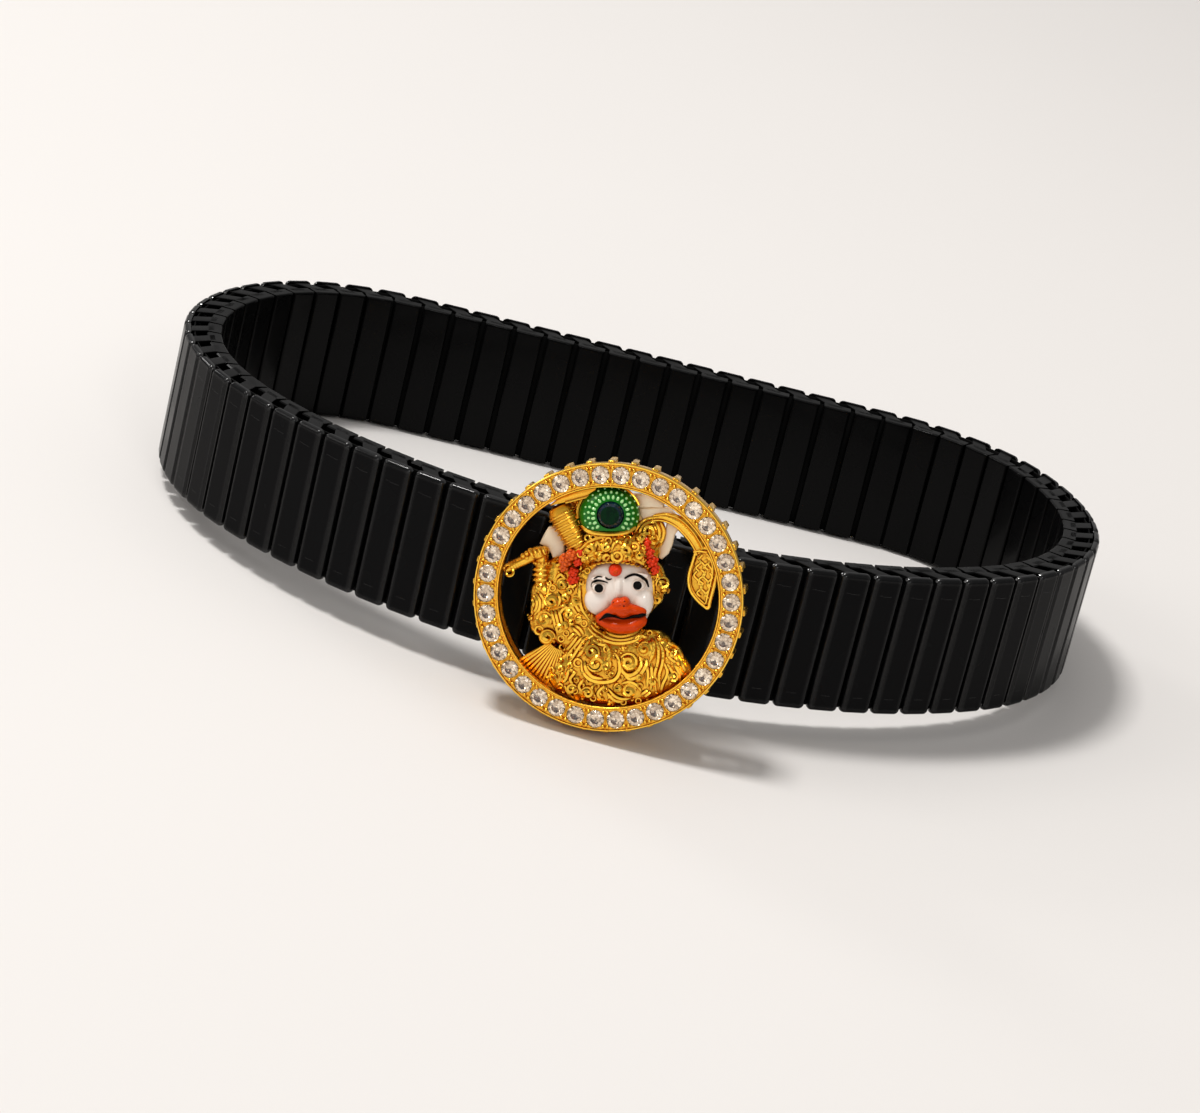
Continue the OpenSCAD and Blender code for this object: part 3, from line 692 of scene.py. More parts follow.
reliefs = [  # softer bulges on the masses
    (-0.55, -4.55, 2.15, 1.15, 1.15, 0.62), (1.45, -4.35, 2.1, 0.85, 0.85, 0.42),
    (2.45, -3.45, 1.95, 0.55, 0.55, 0.4), (-4.4, -1.55, 1.9, 0.62, 0.55, 0.45),
    (-4.15, -2.85, 1.85, 0.55, 0.55, 0.4), (-3.9, -0.4, 1.85, 0.55, 0.55, 0.35),
    (3.45, -2.75, 1.8, 0.3, 0.25, 0.3), (3.95, -3.4, 1.75, 0.32, 0.42, 0.35),
    (4.55, -4.1, 1.7, 0.38, 0.42, 0.35), (3.55, 0.9, 1.5, 0.5, 0.5, 0.45),
    (3.2, -0.1, 1.45, 0.42, 0.45, 0.4), (0.5, 3.1, 2.75, 0.5, 0.7, 0.35),
    (-1.0, -3.75, 2.25, 0.5, 0.45, 0.35), (0.85, -3.5, 2.2, 0.4, 0.35, 0.3),
    (-2.6, -1.2, 1.95, 0.5, 0.5, 0.3),
]
figureLow = 1.2  # what is laid over the figure goes no lower
figureMass = blended("figureMass", [hulled(rows) for rows in masses.values()]
                     + [ball(row[:3], row[3:], 16, 10) for row in reliefs], 0.13, 4)


def skinOf(obj):
    return BVHTree.FromObject(obj, bpy.context.evaluated_depsgraph_get())


def topOf(skin, x, y, low=2.4):  # height of a skin at a place, seen from the front
    hit = skin.ray_cast(Vector((x, y, 20)), Vector((0, 0, -1)))[0]
    return max(hit.z, low) if hit is not None else low


figureSkin = skinOf(figureMass)


def over(x, y, lift=0.0):
    return topOf(figureSkin, x, y, figureLow) + lift


thread = {"bold": 7, "boldWire": 0.2, "wire": 0.16, "lift": 0.08, "taper": 0.45}  # the first seven are bold


def laid(points, radius):  # a wire laid over the figure, thinner at its ends
    run = rounded(points)
    last = len(run) - 1
    stroke = []
    for k, (x, y) in enumerate(run):
        ends = min(1, 4 * min(k, last - k) / last)
        taper = thread["taper"] + (1 - thread["taper"]) * ends
        stroke.append((x, y, over(x, y, thread["lift"]), radius * taper))
    return stroke


curl = {"steps": 16, "close": 0.86, "rise": 0.16, "wire": 0.135, "boldWire": 0.165, "lift": 0.1,
        "boldAbove": 2.4, "boldFrom": 0.48}  # bold on the crown and where large


def spiralled(x, y, radius, start, turns, wire, lift):  # turns clockwise where negative
    count = max(10, int(curl["steps"] * abs(turns)))
    stroke = []
    for k in range(count + 1):
        t = k / count
        px, py = polar(radius * (1 - curl["close"] * t), start + 360 * turns * t, (x, y))
        stroke.append((px, py, over(px, py, lift + curl["rise"] * t), wire * (0.6 + 0.6 * min(1, 3 * t))))
    return stroke


spirals = [  # right, up, radius, start angle, turns
    (-0.75, -4.45, 0.62, 200, 1.5), (1.45, -4.35, 0.62, 150, -1.8), (2.45, -3.45, 0.46, 60, 1.9),
    (-1.05, -3.75, 0.5, -30, 1.4), (-4.4, -1.6, 0.52, 20, 1.6), (-4.15, -2.85, 0.52, 0, 1.9),
    (-3.9, -0.4, 0.5, 90, 1.6), (-2.95, -0.15, 0.28, 200, 1.3), (-2.65, -1.2, 0.42, 100, -1.5),
    (3.6, 0.95, 0.45, 200, -1.5), (3.72, 0.48, 0.24, 90, -1.2), (3.2, -0.1, 0.38, 60, 1.6),
    (1.5, -6.3, 0.5, 20, 1.4), (-1.3, -6.5, 0.42, 160, -1.4), (-0.1, -4.55, 0.4, 90, -1.3),
    (0.3, -7.25, 0.24, 0, 1.2), (2.55, 4.45, 0.42, 250, 1.5), (2.95, 3.95, 0.3, 80, -1.3),
    (2.15, 4.1, 0.3, 150, 1.3), (-1.25, 3.3, 0.36, 210, 1.3), (1.15, 3.35, 0.36, 200, 1.3),
    (-0.15, 3.5, 0.3, 0, -1.3), (1.3, 2.85, 0.3, 100, 1.2), (-0.75, 2.78, 0.26, 200, -1.2),
    (2.1, 2.95, 0.3, 60, 1.2), (-1.5, 2.55, 0.26, 90, 1.2), (-0.1, 2.75, 0.24, 0, 1.1),
    (-2.2, -0.3, 0.3, 120, -1.3), (-3.2, 0.75, 0.38, 60, 1.5), (-2.65, 0.35, 0.25, 0, 1.2),
    (-3.3, -2.2, 0.3, 0, -1.3), (4.4, -5.3, 0.4, 100, -1.3), (3.1, -5.6, 0.3, 0, 1.2),
    (0.75, -6.1, 0.3, 90, 1.2), (-2.4, -6.3, 0.34, 30, 1.3), (-3.5, 2.2, 0.3, 90, 1.3),
    (-3.0, -2.0, 0.26, 180, 1.2), (2.2, -5.3, 0.26, 90, -1.2), (-2.02, -1.5, 0.28, 40, 1.3),
    (4.35, -3.75, 0.26, 120, -1.2), (-2.45, -1.75, 0.22, 0, 1.1),
]
rings = [  # small eyelets: right, up, radius
    (-4.7, -2.42, 0.27), (-1.65, -1.85, 0.2), (-2.0, -4.5, 0.26), (-3.2, -2.95, 0.2), (-3.15, -3.6, 0.2),
    (-3.25, -4.05, 0.2), (0.65, 2.85, 0.3), (1.75, 3.5, 0.27), (0.0, 3.88, 0.2), (-1.9, 2.9, 0.2),
    (-1.5, 1.68, 0.17), (-2.2, -6.45, 0.18), (-0.95, -6.9, 0.18), (1.1, -7.1, 0.18), (2.1, -7.0, 0.18),
    (0.0, -5.15, 0.14), (-1.35, -4.75, 0.17), (-2.85, -2.55, 0.18), (3.05, 0.3, 0.16), (2.3, 3.45, 0.16),
    (-3.85, 0.45, 0.2), (-2.3, -3.0, 0.16), (2.75, -2.45, 0.16), (3.0, 1.3, 0.18),
]
beads = [  # right, up, radius
    (0.25, -4.5, 0.1), (0.38, -4.75, 0.1), (-0.1, -4.95, 0.11), (0.15, -4.95, 0.09), (0.55, -3.62, 0.13),
    (1.2, -3.4, 0.13), (0.9, -3.75, 0.13), (0.85, -3.45, 0.11), (-0.35, -4.15, 0.1), (-0.6, -4.05, 0.09),
    (-1.05, -5.2, 0.1), (-0.4, -5.45, 0.09), (3.45, -2.75, 0.2), (-3.75, -3.35, 0.12), (-1.9, -2.2, 0.1),
    (-2.3, -2.35, 0.1), (-2.6, -2.0, 0.11), (2.0, -2.75, 0.1), (0.45, 3.72, 0.14), (0.45, 4.0, 0.11),
    (-3.05, 1.3, 0.12), (-2.9, 1.75, 0.12), (-3.45, 1.55, 0.12), (3.1, 1.75, 0.13), (-0.3, -6.9, 0.12),
    (-1.7, -7.0, 0.13), (1.7, -6.95, 0.12), (2.7, -6.9, 0.12), (3.3, -6.4, 0.12), (-3.0, -6.6, 0.12),
]
strokes = [  # wires laid on the cloth, as runs of (right, up)
    # Scrolls and edges of the cloth on the chest
    [(-0.35, -3.05), (0.05, -3.45), (0.15, -4.0), (-0.05, -4.5), (-0.35, -4.75)],
    [(-1.75, -4.5), (-1.65, -5.1), (-1.1, -5.6), (-0.3, -5.75), (0.5, -5.55), (0.85, -4.95),
     (0.75, -4.15), (0.45, -3.75)], [(-1.55, -4.35), (-1.4, -4.95), (-0.95, -5.4), (-0.3, -5.5)],
    [(0.95, -4.2), (0.95, -4.8), (1.35, -5.2), (1.9, -5.05), (2.25, -4.5), (2.15, -3.95)],
    [(1.05, -5.05), (1.5, -5.45), (2.1, -5.25), (2.55, -4.6), (2.6, -4.1)],
    [(2.9, -2.75), (3.1, -3.2), (3.05, -3.8), (2.85, -4.3)], [(2.75, -2.9), (2.9, -3.4), (2.8, -3.95)],
    # Folds of the cloth on the right and below
    [(3.15, -2.75), (3.4, -3.4), (3.4, -4.3), (3.2, -5.2), (3.3, -6.3)],
    [(3.4, -2.95), (3.7, -3.6), (3.7, -4.4), (3.5, -5.2), (3.55, -6.0)],
    [(2.65, -4.5), (2.75, -5.2), (2.7, -6.0)], [(2.95, -4.4), (3.0, -5.2), (2.95, -6.2)],
    [(3.75, -4.3), (4.05, -5.0), (3.75, -5.8), (3.6, -6.4)], [(4.0, -4.4), (4.4, -5.1), (4.2, -5.9)],
    [(4.75, -4.5), (4.95, -5.0), (5.3, -5.35)], [(4.45, -4.4), (4.8, -5.0), (4.9, -5.7)],
    [(4.9, -4.2), (5.15, -4.8), (5.45, -5.2)], [(1.0, -5.8), (1.5, -5.68), (2.0, -5.9), (2.3, -6.3)],
    [(1.15, -6.05), (1.6, -5.98), (1.95, -6.3)], [(0.1, -6.2), (0.6, -6.7), (1.2, -6.85), (1.8, -6.6)],
    [(0.0, -6.45), (0.5, -6.95), (1.1, -7.05)], [(2.3, -6.55), (2.75, -6.2)],
    [(2.5, -6.7), (2.95, -6.35)], [(-0.2, -6.0), (-0.6, -6.5), (-0.35, -6.95)],
    [(-0.9, -5.95), (-1.1, -6.4), (-0.8, -6.7)], [(-1.6, -5.6), (-1.9, -6.1), (-1.6, -6.5)],
    [(-2.1, -5.1), (-2.5, -5.6), (-2.3, -6.0)], [(-2.6, -4.9), (-2.75, -5.5), (-3.0, -5.9)],
    [(-2.9, -6.1), (-2.5, -6.8), (-1.9, -7.1)],
    # Pleats below the chin and on the sleeve
    [(-1.5, -2.75), (-2.1, -3.7), (-2.6, -4.5)], [(-1.75, -2.75), (-2.35, -3.55), (-2.8, -4.1)],
    [(-1.25, -2.9), (-1.7, -3.7), (-2.05, -4.1)], [(-2.05, -2.7), (-2.55, -3.4), (-2.9, -3.75)],
    [(-1.2, -3.3), (-1.45, -3.9)], [(-3.7, -3.1), (-3.8, -3.8)], [(-2.3, -2.5), (-2.75, -3.0)],
    [(-2.3, -1.95), (-1.9, -2.2), (-1.65, -2.6)], [(-2.5, -2.1), (-2.1, -2.4), (-1.85, -2.7)],
    [(4.0, -3.05), (4.6, -3.45), (5.0, -4.1)], [(3.95, -3.75), (4.3, -4.15), (4.65, -4.35)],
    [(3.75, -3.3), (4.0, -3.55), (4.0, -4.0)], [(-3.9, -1.05), (-3.7, -1.7), (-3.45, -2.6)],
    [(-3.65, -1.0), (-3.45, -1.7), (-3.25, -2.4)], [(-3.4, -0.9), (-3.2, -1.6), (-3.05, -2.1)],
    [(-5.0, 0.1), (-4.65, -0.4), (-4.7, -1.0), (-5.05, -1.4)],
    [(-5.15, -0.05), (-4.85, -0.45), (-4.9, -0.95), (-5.15, -1.2)],
    [(-4.75, 0.2), (-4.4, -0.35), (-4.5, -1.0)], [(-5.25, -0.3), (-5.08, -0.6), (-5.15, -0.9)],
    [(-4.85, -1.95), (-4.6, -1.3), (-4.2, -1.1)], [(-4.65, -2.0), (-4.35, -1.5), (-4.0, -1.35)],
    [(-3.95, -2.0), (-3.9, -1.5)], [(-2.5, -0.3), (-2.15, -0.75), (-1.95, -1.1)],
    [(-2.7, -0.45), (-2.35, -0.95), (-2.1, -1.3)], [(-2.15, 0.2), (-1.95, -0.3), (-1.95, -0.8)],
    [(-3.5, 0.2), (-3.3, -0.3), (-3.45, -0.75)], [(-3.6, 1.1), (-3.3, 1.4), (-2.95, 1.1)],
    [(-2.85, 0.9), (-2.5, 0.6), (-2.2, 0.75)], [(-3.0, -0.6), (-2.8, -0.85), (-2.4, -0.75)],
    [(-3.3, -1.3), (-3.1, -0.95), (-2.75, -0.8)],
    # Rim of the hood beside the face
    [(-2.0, 0.9), (-1.98, 0.3), (-1.95, -0.3), (-1.75, -0.95), (-1.3, -1.6)],
    [(2.95, 1.3), (2.98, 0.6), (2.98, -0.1), (2.85, -0.9)],
    # Collars
    [(-1.2, -1.95), (-0.8, -2.4), (0.0, -2.8), (0.9, -2.92), (1.8, -2.7), (2.4, -2.3)],
    [(-1.4, -2.1), (-0.95, -2.6), (-0.1, -3.0), (0.9, -3.12), (1.9, -2.88), (2.6, -2.4)],
    [(-1.1, -1.75), (-0.65, -2.2), (0.1, -2.6), (0.9, -2.7), (1.7, -2.5), (2.2, -2.15)],
    [(1.7, -2.95), (2.1, -2.65), (2.6, -2.75)], [(-1.0, -2.9), (-0.6, -3.2), (0.1, -3.3)],
    # Crown and plume
    [(-1.95, 3.2), (-1.3, 3.75), (-0.6, 4.05), (0.1, 4.15)], [(-1.9, 2.35), (-1.2, 2.85), (-0.35, 3.15)],
    [(-1.75, 2.2), (-1.1, 2.65), (-0.35, 2.95)], [(-0.9, 3.2), (-0.78, 3.72), (-0.55, 3.6), (-0.3, 3.15)],
    [(0.25, 3.3), (0.4, 3.7), (0.72, 3.85), (0.95, 3.65)], [(0.3, 3.15), (0.3, 2.75), (0.5, 2.45)],
    [(1.0, 3.1), (1.0, 2.75), (0.85, 2.45)], [(1.5, 3.9), (1.4, 3.5), (1.6, 3.15)],
    [(2.0, 3.8), (2.05, 3.4), (1.9, 3.15)], [(1.3, 4.1), (1.1, 3.85), (1.2, 3.65)],
    [(1.6, 2.7), (2.0, 2.5), (2.45, 2.2)], [(2.05, 3.3), (2.25, 2.9), (2.3, 2.5)],
    [(1.65, 4.3), (1.95, 4.85), (2.4, 5.2), (3.0, 5.35), (3.6, 5.3)],
    [(3.3, 5.15), (3.55, 4.6), (3.55, 4.1), (3.35, 3.6), (3.05, 3.15)],
    [(3.05, 5.05), (3.3, 4.55), (3.3, 4.05), (3.1, 3.6)],
    [(1.95, 4.2), (2.15, 4.7), (2.55, 5.0), (3.05, 5.05)], [(2.35, 3.7), (2.5, 4.05), (2.4, 4.4)],
    [(2.7, 3.6), (2.95, 4.3), (2.8, 4.8)],
    # Thin edge right of the mace
    [(-1.75, 4.25), (-1.95, 4.65), (-2.15, 5.2), (-2.3, 5.9), (-2.35, 6.3)],
]


brow = {"at": (0.45, -1.25), "radius": 3.8, "span": 84, "eyelets": 18, "size": 0.15, "wire": 0.065,
        "lift": 0.12, "lean": 35}


def browBand():  # small eyelets in an arch over the brow
    parts = []
    for k in range(brow["eyelets"]):
        a = 90 - brow["span"] / 2 + k * brow["span"] / (brow["eyelets"] - 1)
        x, y = polar(brow["radius"], a, brow["at"])
        right, up = polar(brow["lean"], a)
        at = (x, y, over(x, y, brow["lift"]))
        parts.append(hoop(at, brow["size"], brow["wire"], 12, 5, (-up, right, 0)))
    return parts


halo = {
    "at": (-0.08, 5.5), "radius": 2.08, "high": 2.08 * 0.97, "foot": 4.5, "low": 1.9, "thick": 1.3,
    "stone": (0.12, 5.62), "seat": 0.93,
    "edge": (2.13, 2.07, 2.15, 0.11),  # half width, half height, forwards and wire
    "edgeFrom": 20, "edgeTo": 215,
    "lip": [(-1.85, 4.75, 2.35, 0.12), (-1.3, 4.42, 2.7, 0.16), (-0.1, 4.3, 2.85, 0.17),
            (1.1, 4.42, 2.7, 0.16), (1.75, 4.75, 2.35, 0.12)],
    "frills": 8, "firstFrill": -1.45, "frillStep": 0.39, "frillUp": 4.1, "frillForward": 2.75,
    "frill": (0.17, 0.2, 0.08),  # half width, half height and wire
}


def haloSeat():  # gold edge round the green dome and the frill below it
    wide, high, forward, wire = halo["edge"]
    edge = [(*polar(wide, a, halo["at"], high), forward, wire)
            for a in range(halo["edgeFrom"], halo["edgeTo"], 6)]
    wide, high, wire = halo["frill"]
    frills = []
    for k in range(halo["frills"]):
        x = halo["firstFrill"] + halo["frillStep"] * k
        middle, forward = (x, halo["frillUp"] - 0.07 * abs(x)), halo["frillForward"] - 0.12 * abs(x)
        frills.append([(*polar(wide, 36 * j, middle, high), forward, wire) for j in range(11)])
    return wires("haloSeat", [edge, rounded(halo["lip"]), *frills], 2)


mace = {
    "top": (-3.55, 6.05, 1.6), "foot": (-1.95, 3.05, 1.85),
    "barrel": [(0, -0.05), (0.4, -0.03), (0.78, 0.14), (0.93, 0.45), (0.95, 0.9), (0.93, 1.6), (0.86, 2.3),
               (0.77, 2.8)],  # radius and distance from the top
    "end": 0.7, "ribs": 8, "ribFrom": 0.74, "ribTo": 0.1, "rib": 1.01, "ribWire": 0.085,
    "narrowing": 0.11, "narrowFrom": 1.2,
    "leaves": 14, "leafOut": 0.82, "leafAt": 0.38, "leaf": (0.07, 0.06, 0.32), "leafLean": 24,
}


def maceHead():  # a ribbed barrel with leaves round its dome
    axis = Vector(mace["foot"]) - Vector(mace["top"])
    long = axis.length
    profile = mace["barrel"] + [(mace["end"], long), (0, long)]
    # The barrel between the ribs is rougher gold in a darker colour: painted shade in the valleys
    parts = [painted(spun("barrel", profile, 32, False), "dullShadedGold")]
    for k in range(mace["ribs"]):
        t = mace["ribFrom"] + k * (long - mace["ribFrom"] - mace["ribTo"]) / (mace["ribs"] - 1)
        radius = mace["rib"] - mace["narrowing"] * max(0, t - mace["narrowFrom"])
        parts.append(painted(hoop((0, 0, t), radius, mace["ribWire"], 40, 10), "gold"))
    for k in range(mace["leaves"]):
        a = 360 * k / mace["leaves"]
        at = (*polar(mace["leafOut"], a), mace["leafAt"])
        parts.append(painted(ball(at, mace["leaf"], 10, 6, (0, mace["leafLean"], a)), "gold"))
    whole = joined("mace", parts)
    whole.matrix_world = Matrix.Translation(mace["top"]) @ axis.to_track_quat("Z", "Y").to_matrix().to_4x4()
    return applied(whole)


arm = {
    "x": -4.66, "forward": 1.45, "bangleWire": 0.11, "bangleInto": 0.06, "bangleLean": 80,
    "bangles": [(0.55, 0.56), (0.9, 0.62), (1.24, 0.64), (1.58, 0.62), (1.95, 0.55)],  # up, radius
    "beads": 6, "beadFrom": 200, "beadStep": 28, "beadCircle": 0.52, "bead": 0.12,
    "fingers": [(-5.25, 2.7), (-5.0, 2.85), (-4.72, 2.93), (-4.45, 2.95)], "finger": (0.13, 0.33, 0.16),
    "knots": [(-5.65, 2.72), (-5.9, 2.55), (-5.4, 2.92), (-5.62, 2.42), (-5.25, 2.6)], "knot": 0.2,
    "coils": 9, "firstCoil": (-6.75, 1.75, 1.37), "coilRun": (1.3, 0.65, 0.1), "coil": 0.35, "coilWire": 0.06,
    "coilTurn": (0, 90, 27),
    "limb": [(-4.65, 0.2, 1.45, 0.5, 0.5, 0.5), (-4.65, 2.6, 1.5, 0.46, 0.46, 0.46)],
    "handle": [(-6.98, 1.62, 1.4, 0.34, 0.34, 0.34), (-4.5, 2.88, 1.6, 0.38, 0.38, 0.38)],
}


def armParts():  # the raised arm with its bangles, the hand and the handle of the mace
    x = arm["x"]
    parts = [hulled(arm["limb"], 16)]
    for y, radius in arm["bangles"]:
        parts.append(hoop((x, y, arm["forward"]), radius - arm["bangleInto"], arm["bangleWire"], 24, 6,
                          (arm["bangleLean"], 0, 0)))
    for k in range(arm["beads"]):  # beads round the upper bangle
        right, behind = polar(arm["beadCircle"], arm["beadFrom"] + k * arm["beadStep"])
        parts.append(ball((x + right, 2.08, 1.5 - behind), arm["bead"], 10, 6))
    parts.append(ball((-4.9, 2.75, 1.6), (0.62, 0.5, 0.62), 20, 12))
    parts += [ball((*at, 2.12), arm["finger"], 10, 8, (0, 0, 25)) for at in arm["fingers"]]
    parts.append(hulled(arm["handle"], 14))
    for k in range(arm["coils"]):  # wound round the handle
        t = k / (arm["coils"] - 1)
        at = [start + run * t for start, run in zip(arm["firstCoil"], arm["coilRun"])]
        parts.append(hoop(at, arm["coil"], arm["coilWire"], 18, 5, arm["coilTurn"]))
    parts.append(hoop((-6.82, 1.4, 1.65), 0.26, 0.11, 20, 8))
    return parts + [ball((*at, 1.75), arm["knot"], 12, 8) for at in arm["knots"]]


fan = {
    "hub": (-3.0, -2.6), "inner": 1.2, "outer": 3.78, "start": 213, "end": 263,
    "pleats": 10, "firstPleat": 217, "lastPleat": 261, "pleat": 0.15,
    "pleatRows": [(1.2, 2.02, 0.5), (1.8, 2.1, 0.6), (2.4, 2.12, 0.75), (3.1, 2.02, 0.9), (3.73, 1.86, 1.05)],
    "low": 0.9, "high": 1.95, "rim": (1.9, 0.11), "side": [1.2, 1.8, 2.4, 3.1, 3.78], "sideWire": 0.12,
}


def fanParts():  # the pleated end of the sash
    inner, outer, start, end, hub = (fan[key] for key in ("inner", "outer", "start", "end", "hub"))
    pleats = []
    for k in range(fan["pleats"]):
        a = fan["firstPleat"] + k * (fan["lastPleat"] - fan["firstPleat"]) / (fan["pleats"] - 1)
        pleat = [(*polar(r, a, hub), z, fan["pleat"] * wide) for r, z, wide in fan["pleatRows"]]
        pleats.append(rounded(pleat, 3))
    outside = [polar(outer, a, hub) for a in range(start, end + 1, 5)]
    inside = [polar(inner, a, hub) for a in range(end, start - 1, -10)]
    side = [(*polar(r, start, hub), 2.1 - 0.06 * r, fan["sideWire"]) for r in fan["side"]]
    return [wires("pleats", pleats), plate("fanSheet", outside + inside, fan["low"], fan["high"], 0.06, 1),
            wires("fanRim", [[(*at, *fan["rim"]) for at in outside], side])]


tail = {
    "path": [(2.7, 5.3, 1.4, 0.26), (3.6, 5.4, 1.5, 0.36), (4.5, 5.1, 1.5, 0.44), (5.25, 4.4, 1.45, 0.46),
             (5.75, 3.7, 1.4, 0.44), (6.05, 3.1, 1.35, 0.4)],
    "tuft": [(5.75, 3.1), (5.55, 2.4), (5.35, 1.7), (5.3, 1.1), (5.45, 0.45), (5.85, -0.1), (6.3, -0.5),
             (6.62, -0.68), (6.75, -0.2), (6.95, 0.6), (7.12, 1.4), (7.2, 2.1), (7.0, 2.8), (6.6, 3.3),
             (6.15, 3.35)],
    "locks": [(5.9, 2.3, 0.2), (6.2, 2.5, -0.2), (6.5, 2.4, 0.2), (6.75, 2.2, -0.15), (5.85, 1.4, -0.2),
              (6.15, 1.5, 0.25), (6.45, 1.4, -0.2), (6.7, 1.3, 0.2), (6.0, 0.6, 0.2), (6.3, 0.6, -0.2),
              (6.55, 0.5, 0.15)],  # right, up, bend
    "tie": [(5.62, 3.12, 1.72, 0.09), (6.0, 3.2, 1.76, 0.1), (6.5, 3.12, 1.72, 0.09)],
    "creases": [(-0.2, 0.07), (0.2, 0.06)], "creaseLift": 0.36,
    "low": 1.0, "high": 1.5, "edge": (1.64, 0.12), "inside": (1.58, 0.085), "lock": (1.56, 0.1),
}


def tailParts():
    path = rounded(tail["path"], 8)
    creases = [[(x + aside, y + aside, z + tail["creaseLift"], wire) for x, y, z, r in path]
               for aside, wire in tail["creases"]]
    tuft = tail["tuft"]
    within = [(6.15 + 0.8 * (x - 6.25), 1.5 + 0.86 * (y - 1.5)) for x, y in tuft]
    lines = [[(*at, *tail["edge"]) for at in rounded(tuft + tuft[:1], 4)],
             [(*at, *tail["inside"]) for at in rounded(within + within[:1], 4)]]
    for x, y, bend in tail["locks"]:
        lock = rounded([(x, y + 0.4), (x + bend, y + 0.1), (x - bend * 0.6, y - 0.25), (x + 0.1, y - 0.5)], 4)
        lines.append([(*at, *tail["lock"]) for at in lock])
    lines.append(tail["tie"])
    return [wires("tail", [path], 3), wires("crease", creases),
            plate("tuft", tuft, tail["low"], tail["high"], 0.12), wires("tuftLines", lines)]


web = {
    "high": [(-4.15, 6.0), (-3.0, 6.3), (-1.1, 6.85), (-0.9, 7.35), (-2.4, 7.1), (-3.4, 6.65)],
    "low": [(-3.6, 6.3), (-2.6, 5.4), (-1.7, 5.2), (-1.6, 6.8)],
    "edge": [(-3.0, 6.3, 2.32, 0.09), (-2.0, 6.6, 2.32, 0.09), (-1.1, 6.85, 2.32, 0.09)],
}


def webs():  # cast webs between the mace, the halo and the ring
    return [plate("web", web["high"], 1.3, 2.3, 0.1), plate("web", web["low"], 0.5, 0.95, 0.08, 1),
            wires("webLine", [web["edge"]], 2)]


seedTurn = 2.39996  # radians from one to the next, as in a seed head
filler = {
    "tries": 380, "spread": 0.375, "at": (-0.6, -2.6), "flat": 0.8, "clear": 0.14,
    "within": 7.1, "above": 1.35, "right": 2.7, "low": -3, "high": 1.8,
    "radius": 0.24, "turns": 0.95, "wire": 0.09, "lift": 0.02,
}


def fillers():  # small curls that fill the cloth between the drawn ones
    drawn = [row[:3] for row in spirals + rings + beads]
    curls = []
    for k in range(filler["tries"]):
        turn, r = math.degrees(k * seedTurn), filler["spread"] * math.sqrt(k + 0.5)
        x, y = polar(r, turn, filler["at"], filler["flat"] * r)
        near = min(math.hypot(x - px, y - py) - size for px, py, size in drawn)
        onCloth = math.hypot(x, y) < filler["within"] and over(x, y) > filler["above"] and x < filler["right"]
        full = y < filler["low"] or y > filler["high"]
        if near > filler["clear"] and onCloth and (full or k % 3 == 0):
            way = filler["turns"] if k % 2 else -filler["turns"]
            curls.append(spiralled(x, y, filler["radius"], turn, way, filler["wire"], filler["lift"]))
    return curls


def drawnCurl(x, y, radius, start, turns):
    bold = y > curl["boldAbove"] or radius > curl["boldFrom"]
    return spiralled(x, y, radius, start, turns, curl["boldWire"] if bold else curl["wire"], curl["lift"])


small = {"ringLift": 0.05, "ringWire": 0.42, "beadLift": 0.03, "bead": 1.15}
runs = [laid(run, thread["boldWire"] if k < thread["bold"] else thread["wire"])
        for k, run in enumerate(strokes)]
castLines = wires("castLines", runs + [drawnCurl(*row) for row in spirals] + fillers())
plain = [*webs(), haloSeat(), *armParts(), *fanParts(), *browBand(),
         *[hoop((x, y, over(x, y, small["ringLift"])), r, r * small["ringWire"], 16, 6) for x, y, r in rings],
         *[ball((x, y, over(x, y, small["beadLift"])), r * small["bead"], 10, 7) for x, y, r in beads]]
chased = [painted(part, "chasedGold") for part in (figureMass, castLines, *tailParts())]
figure = joined("figure", [*chased, maceHead(), *[painted(part, "gold") for part in plain]])
figure.scale = (figureScale, figureScale, figureScale)
casting = joined("medallionFront", [painted(stoneRing(), "gold"), applied(figure)])
casting.matrix_world = onMedallion
holder = painted(rearClip(), "gold")
holder.matrix_world = atRest
whole = joined("medallionCasting", [applied(casting), applied(holder)])
settled(smooth(whole, 40), Matrix(), "medallion_casting")
print("stage: casting made")

# Enamels, drawn like the figure
def onFace(name, parts, node, shift=(0, 0)):
    settled(smooth(joined(name, parts), 60), onFigure @ Matrix.Translation((*shift, 0)), node)


def balls(rows, segments=20, rings=12):  # rows of place and half sizes
    return [ball(row[:3], row[3:], segments, rings) for row in rows]


eyes = {
    "at": [(-0.78, 0.55, 3.02), (1.8, 0.8, 2.9)], "ball": (0.5, 0.5 * 0.86, 0.42), "deep": 0.28,
    "pupil": (0.3, 0.3, 0.11), "proud": 0.055, "steps": 14,
    "lids": [(0.42, 0.52, 150, 0.06), (0.74, 0.84, 110, 0.16)],  # half height, half width, sweep, depth
    "upper": 0.085, "lower": 0.07,
}
brows = {
    "thick": 1.1, "lift": 0.03,
    "rows": [  # right, up, half width
        [(-1.34, 0.6, 0.045), (-1.22, 0.87, 0.085), (-1.0, 1.03, 0.085), (-0.77, 1.07, 0.07),
         (-0.5, 1.02, 0.05), (-0.2, 0.92, 0.025)],
        [(-1.14, 1.16, 0.03), (-0.9, 1.3, 0.06), (-0.58, 1.3, 0.035)],
        [(-0.36, 1.3, 0.035), (-0.27, 1.2, 0.06), (-0.12, 1.14, 0.055), (0.06, 1.2, 0.03)],
        [(0.93, 1.24, 0.05), (1.18, 1.4, 0.075), (1.52, 1.52, 0.085), (1.8, 1.5, 0.09), (2.14, 1.33, 0.095),
         (2.37, 1.03, 0.08), (2.51, 0.66, 0.045)],
    ],
}


